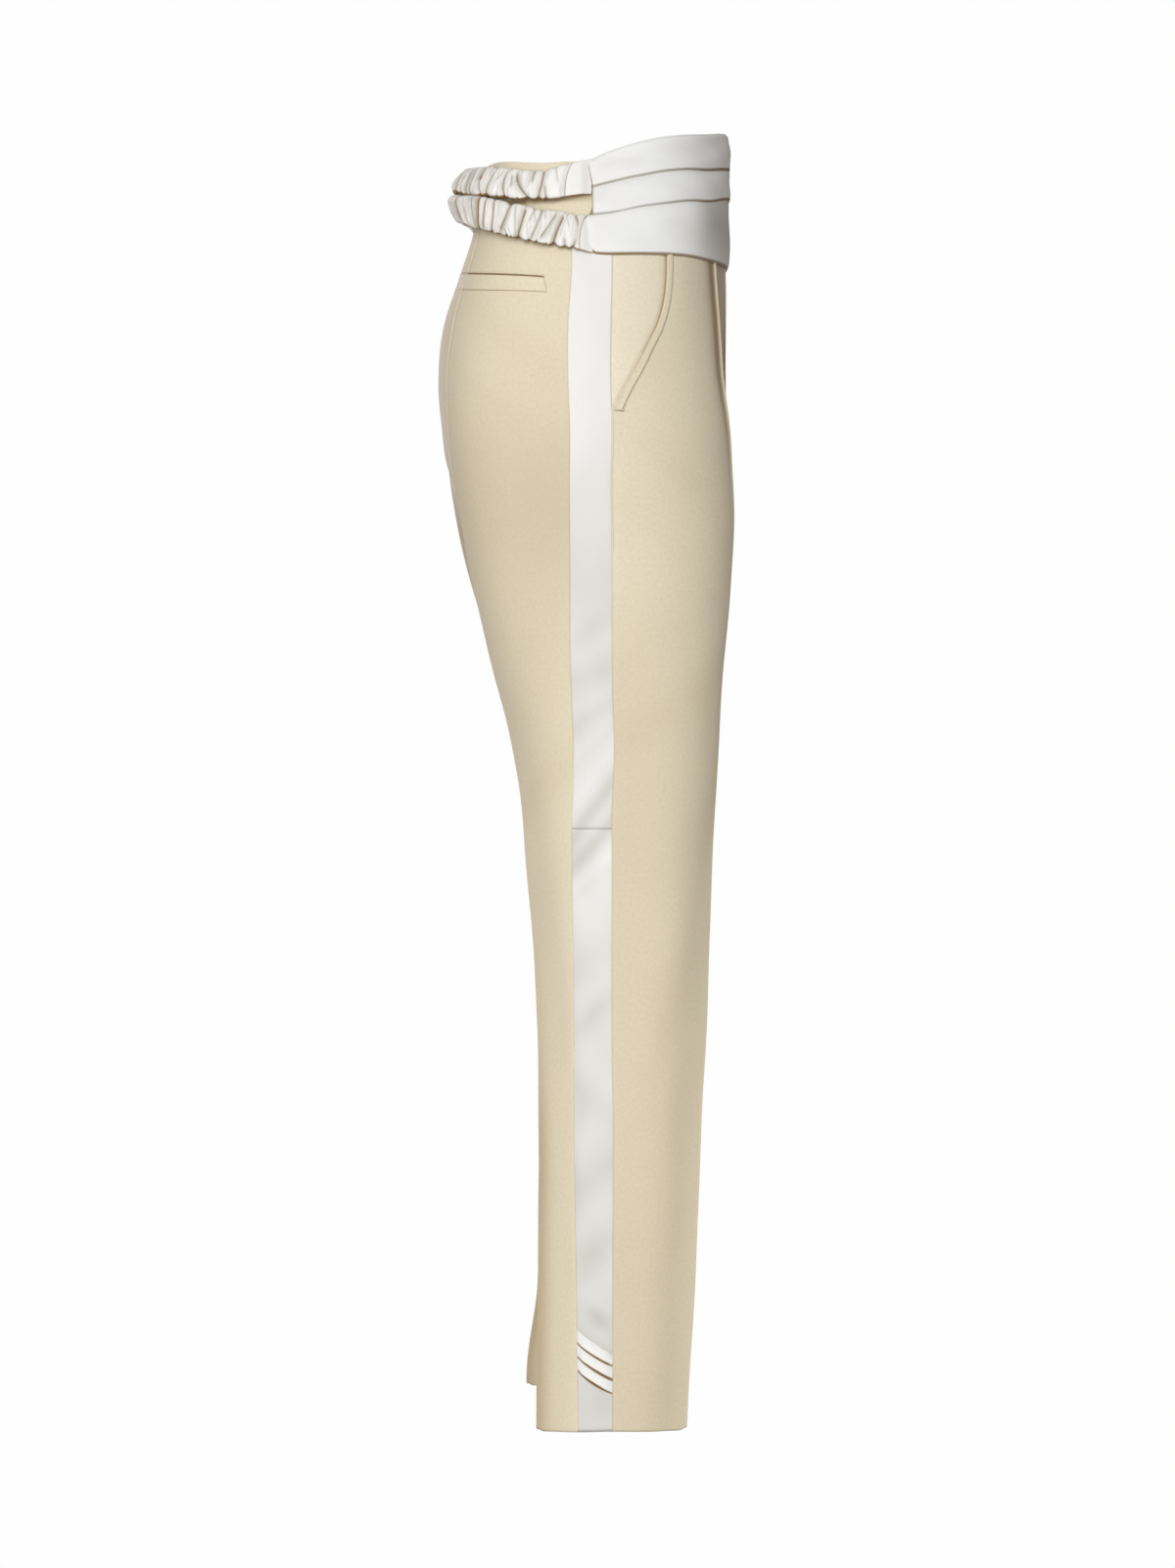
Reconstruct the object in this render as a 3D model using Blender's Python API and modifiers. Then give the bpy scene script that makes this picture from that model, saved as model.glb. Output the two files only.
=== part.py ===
"""Cigarette trousers: a pleated cummerbund front, two gathered straps behind it and satin side panels.

Metres, +Z up. The garment is filled out as if worn and faces -Y, so the wearer's right is -X. The origin is
the middle of the waist opening, in the waistband 16 mm above its seam, where the wearer's waist holds it.

Every wall is cut from one form. half_section() gives the left half of the form at one level, from the centre
front or, on the leg, the inseam, round the side to the centre back. Each piece is a grid of points on it.
"""

import bpy
import numpy as np

# Driving dimensions
HEM_LEVEL = -1.0082
CROTCH_LEVEL = -0.250
WAIST_SEAM = -0.016  # at the side
WAISTBAND_TOP = 0.037
BACK_RISE = 0.013  # how much higher the waist is at the centre back than at the sides
HEM_DIP = 0.0060  # how much lower the hem is at the creases than at the side
HEM_MIDDLE_Y = -0.003
HEM_HALF_DEPTH = 0.063
LEFT_HEM_RISE = 0.005
SEAM_GAP = 0.0003
WOOL = 0.0014
SATIN = 0.0014
WAISTBAND_WALL = 0.0022
TRIM_LIFT = 0.0005  # clear space under a piece that lies on a panel

# The form from the side and the front. Creases and side are the points that a level passes through; fullness
# is the handle length of the curve between them, 0.55 for an ellipse and more for a flatter side; slope is how
# pointed the pressed creases are.
OUTLINE_COLUMNS = ("level", "crease_x", "front_y", "back_y", "side_x", "fullness", "slope")
OUTLINE = (
    (0.090, 0.067, -0.0880, 0.0920, 0.1290, 0.56, 0.14),
    (0.040, 0.068, -0.0890, 0.0935, 0.1285, 0.56, 0.14),
    (0.000, 0.072, -0.0905, 0.1000, 0.1365, 0.56, 0.14),
    (-0.045, 0.076, -0.0925, 0.1120, 0.1490, 0.56, 0.14),
    (-0.090, 0.080, -0.0950, 0.1265, 0.1605, 0.56, 0.14),
    (-0.130, 0.083, -0.0975, 0.1330, 0.1690, 0.56, 0.14),
    (-0.180, 0.086, -0.1025, 0.1310, 0.1755, 0.56, 0.14),
    (-0.250, 0.088, -0.1060, 0.1240, 0.1780, 0.57, 0.14),
    (-0.312, 0.089, -0.1030, 0.1110, 0.1755, 0.58, 0.16),
    (-0.377, 0.089, -0.0980, 0.0945, 0.1705, 0.60, 0.20),
    (-0.443, 0.090, -0.0940, 0.0785, 0.1650, 0.61, 0.27),
    (-0.475, 0.091, -0.0920, 0.0735, 0.1625, 0.61, 0.32),
    (-0.540, 0.092, -0.0880, 0.0670, 0.1585, 0.61, 0.43),
    (-0.606, 0.093, -0.0857, 0.0618, 0.1550, 0.61, 0.55),
    (-0.736, 0.096, -0.0804, 0.0570, 0.1485, 0.60, 0.80),
    (-0.883, 0.099, -0.0730, 0.0575, 0.1420, 0.59, 1.05),
    (-1.015, 0.101, -0.0658, 0.0597, 0.1370, 0.58, 1.20),
)
# Centre seams above the crotch curve
CENTRE_COLUMNS = ("level", "front_y", "back_y")
CENTRE = (
    (0.090, -0.1050, 0.1010),
    (0.040, -0.1050, 0.1030),
    (0.000, -0.1050, 0.1080),
    (-0.025, -0.1050, 0.1142),
    (-0.055, -0.1056, 0.1240),
    (-0.090, -0.1052, 0.1360),
    (-0.130, -0.1045, 0.1400),
    (-0.180, -0.1050, 0.1375),
    (-0.250, -0.1060, 0.1340),
)
# Half the space between the legs
INSEAM_COLUMNS = ("level", "inner_x")
INSEAM = (
    (-0.250, 0.0000),
    (-0.256, 0.0030),
    (-0.275, 0.0055),
    (-0.312, 0.0090),
    (-0.377, 0.0145),
    (-0.443, 0.0200),
    (-0.540, 0.0280),
    (-0.736, 0.0405),
    (-0.883, 0.0500),
    (-1.015, 0.0590),
)
CROTCH_HEIGHT = 0.080  # over which the centre seams curve under to the crotch
CROTCH_POWER_FRONT = 2.2
CROTCH_POWER_BACK = 2.6
THIGH_GAP = 0.004  # how near the inner thighs come to the middle just above the crotch
LEFT_LEG_TUCK = 0.006  # the left leg hangs this much further forward behind, down to the calf

# Satin side panel's edges
PANEL_COLUMNS = ("level", "front_y", "back_y")
PANEL = (
    (0.000, -0.0010, 0.0315),
    (-0.050, -0.0009, 0.0319),
    (-0.160, 0.0003, 0.0346),
    (-0.250, 0.0005, 0.0338),
    (-0.400, -0.0004, 0.0321),
    (-0.515, -0.0012, 0.0317),
    (-0.750, -0.0025, 0.0290),
    (-1.015, -0.0036, 0.0257),
)
KNEE_SEAM_LEVEL = -0.5135

# Front pocket: the opening's edge, from the waist seam down to the side panel
POCKET_COLUMNS = ("level", "edge_y")
POCKET = (
    (0.000, -0.0478),
    (-0.0435, -0.0470),
    (-0.0640, -0.0459),
    (-0.0830, -0.0435),
    (-0.1015, -0.0392),
    (-0.1175, -0.0340),
    (-0.1355, -0.0259),
    (-0.1490, -0.0178),
    (-0.1625, -0.0097),
    (-0.1730, -0.0024),
)
POCKET_UNDERLAP = 0.016
POCKET_UNDERLAP_CLEAR = 0.0014  # clear space between the facing and the front over it
POCKET_WELT_WIDTH = 0.0055
POCKET_WELT_WALL = 0.0011
POCKET_WELT_LIFT = 0.0009

# Back welt pocket: a strip round the seat, sloping up towards the centre back
BACK_WELT_OUTER_Y = 0.0535
BACK_WELT_LENGTH = 0.125
BACK_WELT_HEIGHT = 0.0118
BACK_WELT_TOP = (-0.0588, -0.0465)
BACK_WELT_WALL = 0.0011

FLY_WIDTH = 0.033
FLY_BOTTOM = -0.165
FLY_WALL = 0.0009
FLY_FOOT = 0.045  # height over which the flap's edge curves in
FLY_FOOT_ROWS = 6
FLY_TIP = 0.004

# Cummerbund: heights of its edges and pleats, by the share of the way from the centre front to the side seam
BELT_COLUMNS = ("share", "bottom", "lower_pleat", "upper_pleat", "top")
BELT = (
    (0.00, -0.0365, 0.0240, 0.0505, 0.0795),
    (0.10, -0.0368, 0.0232, 0.0490, 0.0790),
    (0.25, -0.0385, 0.0190, 0.0445, 0.0745),
    (0.45, -0.0405, 0.0104, 0.0373, 0.0673),
    (0.60, -0.0407, 0.0064, 0.0334, 0.0632),
    (0.70, -0.0415, 0.0021, 0.0297, 0.0599),
    (0.80, -0.0425, -0.0022, 0.0246, 0.0541),
    (0.90, -0.0432, -0.0075, 0.0194, 0.0464),
    (1.00, -0.0415, -0.0103, 0.0140, 0.0399),
)
BELT_END_Y = 0.0140
BELT_CLEAR = 0.0027  # clear space between the cummerbund and the trousers in front
BELT_END_CLEAR = 0.0008  # and where it is sewn down at the side seams
BELT_WALL = 0.0013
PLEAT_OVERLAP = 0.007
PLEAT_STEP = 0.0020  # how far a pleat's lower edge stands over the band below

# Straps: middle height, height, thickness, clear space inside and lean of the top outwards in degrees, by
# the share of the way from the side seam to the centre back
STRAP_COLUMNS = ("share", "middle", "height", "thick", "clear", "lean")
STRAPS = {
    "strap_upper": (
        (0.00, 0.0242, 0.0280, 0.0040, 0.0012, 0.0),
        (0.22, 0.0143, 0.0240, 0.0080, 0.0035, -4.0),
        (0.50, 0.0220, 0.0240, 0.0100, 0.0050, -16.0),
        (0.75, 0.0325, 0.0240, 0.0100, 0.0060, -26.0),
        (1.00, 0.0385, 0.0230, 0.0100, 0.0120, -28.0),
    ),
    "strap_lower": (
        (0.00, -0.0255, 0.0305, 0.0040, 0.0012, 0.0),
        (0.22, -0.0190, 0.0285, 0.0080, 0.0040, 4.0),
        (0.50, -0.0045, 0.0265, 0.0105, 0.0070, 16.0),
        (0.75, 0.0068, 0.0240, 0.0105, 0.0072, 24.0),
        (1.00, 0.0105, 0.0235, 0.0105, 0.0145, 26.0),
    ),
}
LEFT_STRAP_RISE = 0.006  # how much higher the straps hang halfway round the left side than round the right
STRAP_RINGS = 45
STRAP_SIDES = 10
RUFFLE_DEPTH = 0.16  # of the strap's thickness and height
RUFFLE_RINGS = 3.1  # rings to one ruffle

# Pleats at the foot of the side panel, folded from it and sloping down towards the front
HEM_PLEAT_TOP = -0.9225
HEM_PLEAT_DROP = 0.0185
HEM_PLEAT_SAG = 0.0012
HEM_PLEAT_SPACING = 0.0112
HEM_PLEAT_COUNT = 3
HEM_PLEAT_WALL = 0.0010
HEM_PLEAT_CLEAR = (0.0008, 0.0013, 0.0018)  # under a pleat's top, middle and lower edge

# How finely the form is cut into faces
SHARP_ANGLE = 0.6
CURVE_POINTS = 40
TOP_LEVELS = (WAIST_SEAM, -0.036, -0.057, -0.082, -0.110, -0.135, -0.155)
CROTCH_STEPS = 5
LEG_LEVELS = (
    -0.256,
    -0.275,
    -0.312,
    -0.345,
    -0.390,
    -0.435,
    -0.475,
    -0.508,
    -0.556,
    -0.620,
    -0.710,
    -0.810,
    -0.883,
    -0.945,
    HEM_LEVEL,
)

WOOL_COLOUR = (0.716, 0.617, 0.451)
SATIN_COLOUR = (0.847, 0.838, 0.807)


def column(table, names, name):
    return np.array([row[names.index(name)] for row in table])


def curve_through(x, y, at):
    """A smooth curve through the points of a column; its slope at each is that between the two beside it."""
    order = np.argsort(x)
    x, y = x[order], y[order]
    slope = np.gradient(y, x)
    at = np.clip(at, x[0], x[-1])
    i = np.clip(np.searchsorted(x, at) - 1, 0, len(x) - 2)
    step = x[i + 1] - x[i]
    t = (at - x[i]) / step
    return (
        (1 + 2 * t) * (1 - t) ** 2 * y[i]
        + t * (1 - t) ** 2 * step * slope[i]
        + t**2 * (3 - 2 * t) * y[i + 1]
        + t**2 * (t - 1) * step * slope[i + 1]
    )


def look_up(table, names, name, at):
    return curve_through(column(table, names, names[0]), column(table, names, name), at)


def ease(t):
    t = np.clip(t, 0.0, 1.0)
    return t * t * (3 - 2 * t)


def bezier(*points):
    t = np.linspace(0.0, 1.0, CURVE_POINTS)[:, None]
    a, b, c, d = (np.array(p, float) for p in points)
    return (1 - t) ** 3 * a + 3 * (1 - t) ** 2 * t * b + 3 * (1 - t) * t**2 * c + t**3 * d


def inner_quarter(level, crease, full, slope, centre_y, power, middle_y, inner_x):
    """The curve from a crease to the centre seam or, below the crotch, to the inseam."""
    rise = np.clip((level - CROTCH_LEVEL) / CROTCH_HEIGHT, 0.0, 1.0)
    torso = ease(rise)
    bulge = (crease[1] - centre_y) / crease[0]
    end = np.array([inner_x, middle_y])
    if level > CROTCH_LEVEL:
        end = np.array([0.0, middle_y + (centre_y - middle_y) * (1 - (1 - rise) ** power) ** (1 / power)])
    reach = crease[0] - end[0]
    towards_middle = np.sign(middle_y - crease[1])
    leg_start = (crease[0] - full * reach, crease[1] + towards_middle * slope * full * reach)
    torso_start = (crease[0] * 2 / 3, crease[1] - 2 * bulge * crease[0] / 3)
    leg_end = (max(end[0], THIGH_GAP * (level > CROTCH_LEVEL)), end[1] - full * (end[1] - crease[1]))
    torso_end = (crease[0] / 3, end[1])
    start_handle = (1 - torso) * np.array(leg_start) + torso * np.array(torso_start)
    end_handle = (1 - torso) * np.array(leg_end) + torso * np.array(torso_end)
    return bezier(crease, start_handle, end_handle, end)


def outer_quarter(level, crease, side, full, crease_slope, centre_y):
    """The curve from a crease to the widest point of the side."""
    torso = ease((level - CROTCH_LEVEL) / CROTCH_HEIGHT)
    towards_side = np.sign(side[1] - crease[1])
    bulge = 2 * (crease[1] - centre_y) / crease[0]
    slope = (1 - torso) * towards_side * crease_slope + torso * bulge
    reach = full * (side[0] - crease[0])
    start_handle = (crease[0] + reach, crease[1] + slope * reach)
    end_handle = (side[0], side[1] - full * (side[1] - crease[1]))
    return bezier(crease, start_handle, end_handle, side)


def half_section(level, side_sign=1):
    """The left half of the form at a level: its points from front to back, and its creases' places."""
    size = {n: float(look_up(OUTLINE, OUTLINE_COLUMNS, n, level)) for n in OUTLINE_COLUMNS[1:]}
    centre_level = max(level, CROTCH_LEVEL)
    centre_front = float(look_up(CENTRE, CENTRE_COLUMNS, "front_y", centre_level))
    centre_back = float(look_up(CENTRE, CENTRE_COLUMNS, "back_y", centre_level))
    inner_x = float(look_up(INSEAM, INSEAM_COLUMNS, "inner_x", min(level, CROTCH_LEVEL)))
    if side_sign > 0:
        tuck = ease((-0.24 - level) / 0.12) * ease((level + 0.97) / 0.12)
        size["back_y"] -= LEFT_LEG_TUCK * tuck
    front = np.array([size["crease_x"], size["front_y"]])
    back = np.array([size["crease_x"], size["back_y"]])
    middle_y = (front[1] + back[1]) / 2
    side = np.array([size["side_x"], middle_y])
    shape = size["fullness"], size["slope"]
    front_in = inner_quarter(level, front, *shape, centre_front, CROTCH_POWER_FRONT, middle_y, inner_x)
    front_out = outer_quarter(level, front, side, *shape, centre_front)
    back_out = outer_quarter(level, back, side, *shape, centre_back)
    back_in = inner_quarter(level, back, *shape, centre_back, CROTCH_POWER_BACK, middle_y, inner_x)
    points = np.concatenate([front_in[::-1], front_out[1:], back_out[::-1][1:], back_in[1:]])
    creases = (CURVE_POINTS - 1, 3 * (CURVE_POINTS - 1))
    return points, creases


def along(points):
    """Distance along a line of points."""
    return np.concatenate([[0.0], np.cumsum(np.linalg.norm(np.diff(points, axis=0), axis=1))])


def lift(y, level, side_sign):
    """How far the cloth is moved up from its level: the waist rises towards the centre back, and the hem is cut
    a little longer at the creases than at the side. The left hem hangs higher."""
    waist = BACK_RISE * ease((y - 0.048) / 0.08) * ease((level + 0.13) / 0.13)
    hem = HEM_DIP * ((y - HEM_MIDDLE_Y) / HEM_HALF_DEPTH) ** 2 - (LEFT_HEM_RISE if side_sign > 0 else 0.0)
    return waist - hem * ease((-0.85 - level) / 0.15)


class Ring:
    """A level of the form, measured along its cloth from the centre front."""

    def __init__(self, level, side_sign=1):
        self.level = level
        self.side_sign = side_sign
        self.points, creases = half_section(level, side_sign)
        self.length = along(self.points)
        self.front_crease, self.back_crease = (self.length[i] for i in creases)
        self.outer = slice(creases[0], creases[1] + 1)

    def at_y(self, y):
        """Where the outer side passes a depth y."""
        return np.interp(y, self.points[self.outer, 1], self.length[self.outer])

    def place(self, where):
        """Points of the form at these distances along the cloth."""
        x = np.interp(where, self.length, self.points[:, 0])
        y = np.interp(where, self.length, self.points[:, 1])
        return np.stack([x, y, self.level + lift(y, self.level, self.side_sign)], axis=-1)

    def ahead(self, where):
        """Level unit directions in which the cloth runs at these distances."""
        before, after = (self.place(np.clip(where + step, 0.0, self.length[-1])) for step in (-0.001, 0.001))
        ahead = (after - before) * (1, 1, 0)
        return ahead / np.linalg.norm(ahead, axis=-1, keepdims=True)


def spaced(marks, counts):
    """Distances in equal steps between marks, with counts of steps."""
    runs = [np.linspace(a, b, n + 1)[:-1] for a, b, n in zip(marks[:-1], marks[1:], counts)]
    return np.concatenate([*runs, [marks[-1]]])


def panel_edge_y(level, edge):
    """Depth of the side panel's front (-1) or back (+1) edge, or between them at other values of edge."""
    front, back = (look_up(PANEL, PANEL_COLUMNS, n, level) for n in PANEL_COLUMNS[1:])
    return front + (edge + 1) / 2 * (back - front)


def pocket_edge_y(level):
    return look_up(POCKET, POCKET_COLUMNS, "edge_y", level)


def body_levels():
    angles = np.linspace(np.pi / 2, 0.0, CROTCH_STEPS + 1)
    crotch = CROTCH_LEVEL + CROTCH_HEIGHT * (1 - np.cos(angles))
    levels = np.concatenate([TOP_LEVELS, crotch, LEG_LEVELS])
    levels[0] -= SEAM_GAP / 2
    return levels


def surface_normals(points, across=None):
    """Outward unit normals of a grid on the left half whose columns run from front to back and rows down.
    Panels that meet are given the form's own directions across, so that their walls turn in together."""
    across = np.gradient(points, axis=1) if across is None else across
    down = np.gradient(points, axis=0)
    normal = np.cross(down, across)
    return normal / np.linalg.norm(normal, axis=-1, keepdims=True)


def sample(points, row, col):
    """Places and normals on a panel's own flat faces, at fractional rows and columns."""
    normal = surface_normals(points)
    r = np.clip(np.floor(row).astype(int), 0, points.shape[0] - 2)
    c = np.clip(np.floor(col).astype(int), 0, points.shape[1] - 2)
    fr, fc = (row - r)[..., None], (col - c)[..., None]

    def blend(grid):
        top = grid[r, c] * (1 - fc) + grid[r, c + 1] * fc
        bottom = grid[r + 1, c] * (1 - fc) + grid[r + 1, c + 1] * fc
        return top * (1 - fr) + bottom * fr

    out = blend(normal)
    return blend(points), out / np.linalg.norm(out, axis=-1, keepdims=True)


def make_material(name, colour, roughness, sheen):
    material = bpy.data.materials.new(name)
    material.use_nodes = True
    shader = material.node_tree.nodes["Principled BSDF"]
    shader.inputs["Base Color"].default_value = (*colour, 1.0)
    shader.inputs["Roughness"].default_value = roughness
    shader.inputs["Metallic"].default_value = 0.0
    shader.inputs["Sheen Weight"].default_value = sheen
    return material


def grid_faces(rows, cols, closed):
    """Faces between the points of a grid; closed also joins its last column to its first."""
    last = cols if closed else cols - 1
    r, c = np.meshgrid(np.arange(rows - 1), np.arange(last), indexing="ij")
    near = (r * cols + c).ravel()
    far = (r * cols + (c + 1) % cols).ravel()
    return np.stack([near, near + cols, far + cols, far], axis=1).tolist()


def add_mesh(name, points, faces, side_sign, material, collection):
    """A mesh object from points and faces given for the left half; side_sign -1 mirrors it to the right."""
    mirrored = points.reshape(-1, 3) * (side_sign, 1, 1)
    mesh = bpy.data.meshes.new(name)
    mesh.from_pydata(mirrored.tolist(), [], [face[::side_sign] for face in faces])
    mesh.materials.append(material)
    mesh.shade_smooth()
    mesh.set_sharp_from_angle(angle=SHARP_ANGLE)
    piece = bpy.data.objects.new(name, mesh)
    collection.objects.link(piece)
    return piece


def add_panel(name, panel, wall, side_sign, material, collection):
    """A closed wall from (points, normals): its outer face on the points and its inner face a wall's width
    inside. Panels that meet share their normals, so the seam gap between them stays even right through."""
    outer, normals = panel
    inner = outer - normals * wall
    rows, cols = outer.shape[:2]
    loop = 2 * cols
    faces = grid_faces(rows, loop, closed=True)
    for c in range(cols - 1):
        top = [c, c + 1, loop - 2 - c, loop - 1 - c]
        faces += [top, [(rows - 1) * loop + i for i in top[::-1]]]
    points = np.concatenate([outer, inner[:, ::-1]], axis=1)
    add_mesh(name, points, faces, side_sign, material, collection)


def add_tube(name, points, material, collection):
    """A closed tube through rings of points, with flat ends."""
    rows, cols = points.shape[:2]
    start = list(range(cols))
    end = [(rows - 1) * cols + i for i in start[::-1]]
    add_mesh(name, points, [*grid_faces(rows, cols, closed=True), start, end], 1, material, collection)


def add_cloth(name, points, wall, side_sign, material, collection):
    """An open sheet through the points, given its wall inwards."""
    faces = grid_faces(*points.shape[:2], closed=False)
    piece = add_mesh(name, points, faces, side_sign, material, collection)
    solidify = piece.modifiers.new("wall", "SOLIDIFY")
    solidify.thickness = wall
    solidify.offset = -1.0


def add_on(name, points, wall, side_sign, material, collection, clear=TRIM_LIFT):
    """A sheet on a panel: points is (places, normals) on the panel, and the sheet's wall stands clear."""
    places, normals = points
    add_cloth(name, places + normals * (clear + wall), wall, side_sign, material, collection)


def off_centre(points):
    """Half of the seam gap between the two halves at the centre seams."""
    return points + (SEAM_GAP / 2, 0, 0)


def cut_from_form(levels, marks_at, counts, side_sign):
    """A panel's grid with a row at each level, and its unit normals. marks_at gives the distances along a
    ring between which the columns are spaced, and counts the steps between each two."""
    places, across = [], []
    for level in levels:
        ring = Ring(level, side_sign)
        where = spaced(marks_at(ring), counts)
        places.append(ring.place(where))
        across.append(ring.ahead(where))
    points = off_centre(np.array(places))
    return points, surface_normals(points, np.array(across))


def front_panel(side_sign):
    """From the centre front or inseam, over the front crease, to the pocket's edge or the side panel."""

    def marks_at(ring):
        edge = panel_edge_y(ring.level, -1)
        if ring.level > POCKET[-1][0]:
            edge = min(edge, pocket_edge_y(ring.level))
        start = SEAM_GAP / 2 if ring.level <= CROTCH_LEVEL else 0.0
        return start, ring.front_crease, ring.at_y(edge) - SEAM_GAP / 2

    return cut_from_form(body_levels(), marks_at, (4, 4), side_sign)


def back_panel(side_sign):
    """From the side panel, over the back crease, to the centre back or inseam."""

    def marks_at(ring):
        end = ring.length[-1] - (SEAM_GAP / 2 if ring.level <= CROTCH_LEVEL else 0.0)
        return ring.at_y(panel_edge_y(ring.level, 1)) + SEAM_GAP / 2, ring.back_crease, end

    return cut_from_form(body_levels(), marks_at, (4, 4), side_sign)


def side_panel(side_sign, top, bottom):
    """The satin strip between front and back panels, from a top to a bottom level."""

    def marks_at(ring):
        return [ring.at_y(panel_edge_y(ring.level, edge)) - edge * SEAM_GAP / 2 for edge in (-1, 1)]

    inside = [z for z in body_levels() if bottom + 0.004 < z < top - 0.004]
    return cut_from_form((top, *inside, bottom), marks_at, (3,), side_sign)


def waistband(side_sign):
    """A straight band on the waist seam, from centre front to centre back, bent where the panels are."""

    def marks_at(ring):
        edges = [pocket_edge_y(ring.level), panel_edge_y(ring.level, -1), panel_edge_y(ring.level, 1)]
        return 0.0, ring.front_crease, *ring.at_y(np.array(edges)), ring.back_crease, ring.length[-1]

    levels = (WAISTBAND_TOP, 0.010, WAIST_SEAM + SEAM_GAP / 2)
    return cut_from_form(levels, marks_at, (4, 4, 2, 3, 4, 4), side_sign)


def pocket_facing(side_sign, front):
    """The hip piece seen in the pocket: level with the side panel, and sunk behind the front panel."""

    def marks_at(ring):
        opening, panel = pocket_edge_y(ring.level), panel_edge_y(ring.level, -1)
        return ring.at_y(opening) + SEAM_GAP, ring.at_y(panel) - SEAM_GAP

    levels = [z for z in body_levels() if z > POCKET[-1][0]]
    shown, shown_out = cut_from_form(levels, marks_at, (2,), side_sign)
    last_column = front.shape[1] - 1
    width = np.linalg.norm(front[: len(levels), -1] - front[: len(levels), -2], axis=1)
    col = last_column - np.array([POCKET_UNDERLAP, 0.0]) / width[:, None]
    row = np.repeat(np.arange(len(levels))[:, None], 2, axis=1)
    under, under_out = sample(front, row, np.maximum(col, 0.0))
    sunk = WOOL + POCKET_UNDERLAP_CLEAR
    depth = np.array([sunk, sunk, sunk, 0.5 * sunk, 0.0])[None, :, None]
    normals = np.concatenate([under_out, shown_out], axis=1)
    return np.concatenate([under, shown], axis=1) - normals * depth, normals


def pocket_welt_points(panel):
    """The raised edge of the pocket opening: two columns beside the front panel's own outer edge."""
    levels = body_levels()
    last = int(np.argmin(np.abs(levels - POCKET[-1][0])))
    row = np.linspace(0.0, last, 2 * last + 1)
    edge = float(panel.shape[1] - 1)
    below = np.floor(row).astype(int)
    width = np.linalg.norm(panel[:, -1] - panel[:, -2], axis=1)
    slant = np.hypot(1.0, np.gradient(panel[:, -1, 1]) / np.gradient(panel[:, -1, 2]))
    share = POCKET_WELT_WIDTH * (slant / width)
    share = share[below] + (row - below) * (share[np.minimum(below + 1, last)] - share[below])
    col = np.stack([edge - share, edge - share / 2, np.full_like(row, edge)], axis=1)
    return sample(panel, np.repeat(row[:, None], 3, axis=1), col)


def rows_at(levels, z):
    """Fractional rows of a panel whose rows lie at levels."""
    return np.interp(-z, -levels, np.arange(len(levels)))


def back_welt_points(panel):
    """The back pocket's welt, along the back panel from near the side towards the centre back. Its bends are
    where the panel's are, so that it lies evenly on the panel."""
    levels = body_levels()
    middle_row = rows_at(levels, np.array(sum(BACK_WELT_TOP) / 2))
    cols = np.linspace(0.0, panel.shape[1] - 1.0, 200)
    line = sample(panel, np.full(200, middle_row), cols)[0]
    length = along(line)
    start = np.interp(BACK_WELT_OUTER_Y, line[:60, 1], length[:60])
    ends = np.interp([start, start + BACK_WELT_LENGTH], length, cols)
    bends = np.arange(np.ceil(ends[0] * 2), np.floor(ends[1] * 2) + 1) / 2
    where = np.unique(np.concatenate([ends, bends]))
    top = np.interp(where, ends, BACK_WELT_TOP)
    z = np.stack([top, top - BACK_WELT_HEIGHT / 2, top - BACK_WELT_HEIGHT])
    z -= lift(np.interp(where, cols, line[:, 1]), np.mean(BACK_WELT_TOP), side_sign=1)
    return sample(panel, rows_at(levels, z), np.repeat(where[None], 3, axis=0))


def fly_points(panel):
    """The fly's outer flap: a strip along the centre front whose foot curves in to the seam."""
    levels = body_levels()
    foot_rows = FLY_BOTTOM + FLY_FOOT * (1 - np.cos(np.linspace(np.pi / 2, 0.0, FLY_FOOT_ROWS)))
    z = np.sort(np.concatenate([levels[levels > FLY_BOTTOM + FLY_FOOT], foot_rows]))[::-1]
    z[0] -= SEAM_GAP
    foot = np.clip((z - FLY_BOTTOM) / FLY_FOOT, 0.0, 1.0)
    width = FLY_WIDTH * np.sqrt(1 - (1 - foot) ** 2) + FLY_TIP * (1 - foot)
    row = rows_at(levels, z)
    column_width = np.linalg.norm(np.diff(panel, axis=1), axis=2)[:, 0]
    share = width / np.interp(row, np.arange(len(levels)), column_width)
    col = np.linspace(0.0, 1.0, 4)[None] * share[:, None] + 0.02
    return sample(panel, np.repeat(row[:, None], 4, axis=1), col)


def belt_clear(share):
    return BELT_CLEAR + (BELT_END_CLEAR - BELT_CLEAR) * ease((share - 0.82) / 0.18)


def belt_band_points(upper, lower, tuck_top, stand_bottom, cols=11):
    """A band between two of the cummerbund's edges, over the whole front. tuck_top is how far it runs up
    behind the band above, and stand_bottom how far its lower edge stands out over the band below."""
    share = np.linspace(0.0, 1.0, cols)
    top = look_up(BELT, BELT_COLUMNS, upper, share) + tuck_top
    bottom = look_up(BELT, BELT_COLUMNS, lower, share)
    rows = []
    for down in np.linspace(0.0, 1.0, 5):
        z = top + down * (bottom - top)
        stand = stand_bottom * ease(down * 1.2 - 0.1)
        line = []
        for s, level in zip(share, z):
            ring = Ring(level)
            where = s * (ring.at_y(BELT_END_Y))
            near = np.clip(np.array([where - 0.001, where, where + 0.001]), 0.0, None)
            before, here, after = ring.place(near)
            ahead = (after - before)[:2]
            out = np.array([ahead[1], -ahead[0], 0.0]) / np.linalg.norm(ahead)
            if s == 0.0:
                out = np.array([0.0, -1.0, 0.0])
            line.append(here * (1, 1, 0) + (0, 0, level) + out * (belt_clear(s) + stand + BELT_WALL))
        rows.append(line)
    half = np.array(rows)
    return np.concatenate([(half * (-1, 1, 1))[:, :0:-1], half], axis=1)


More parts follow.
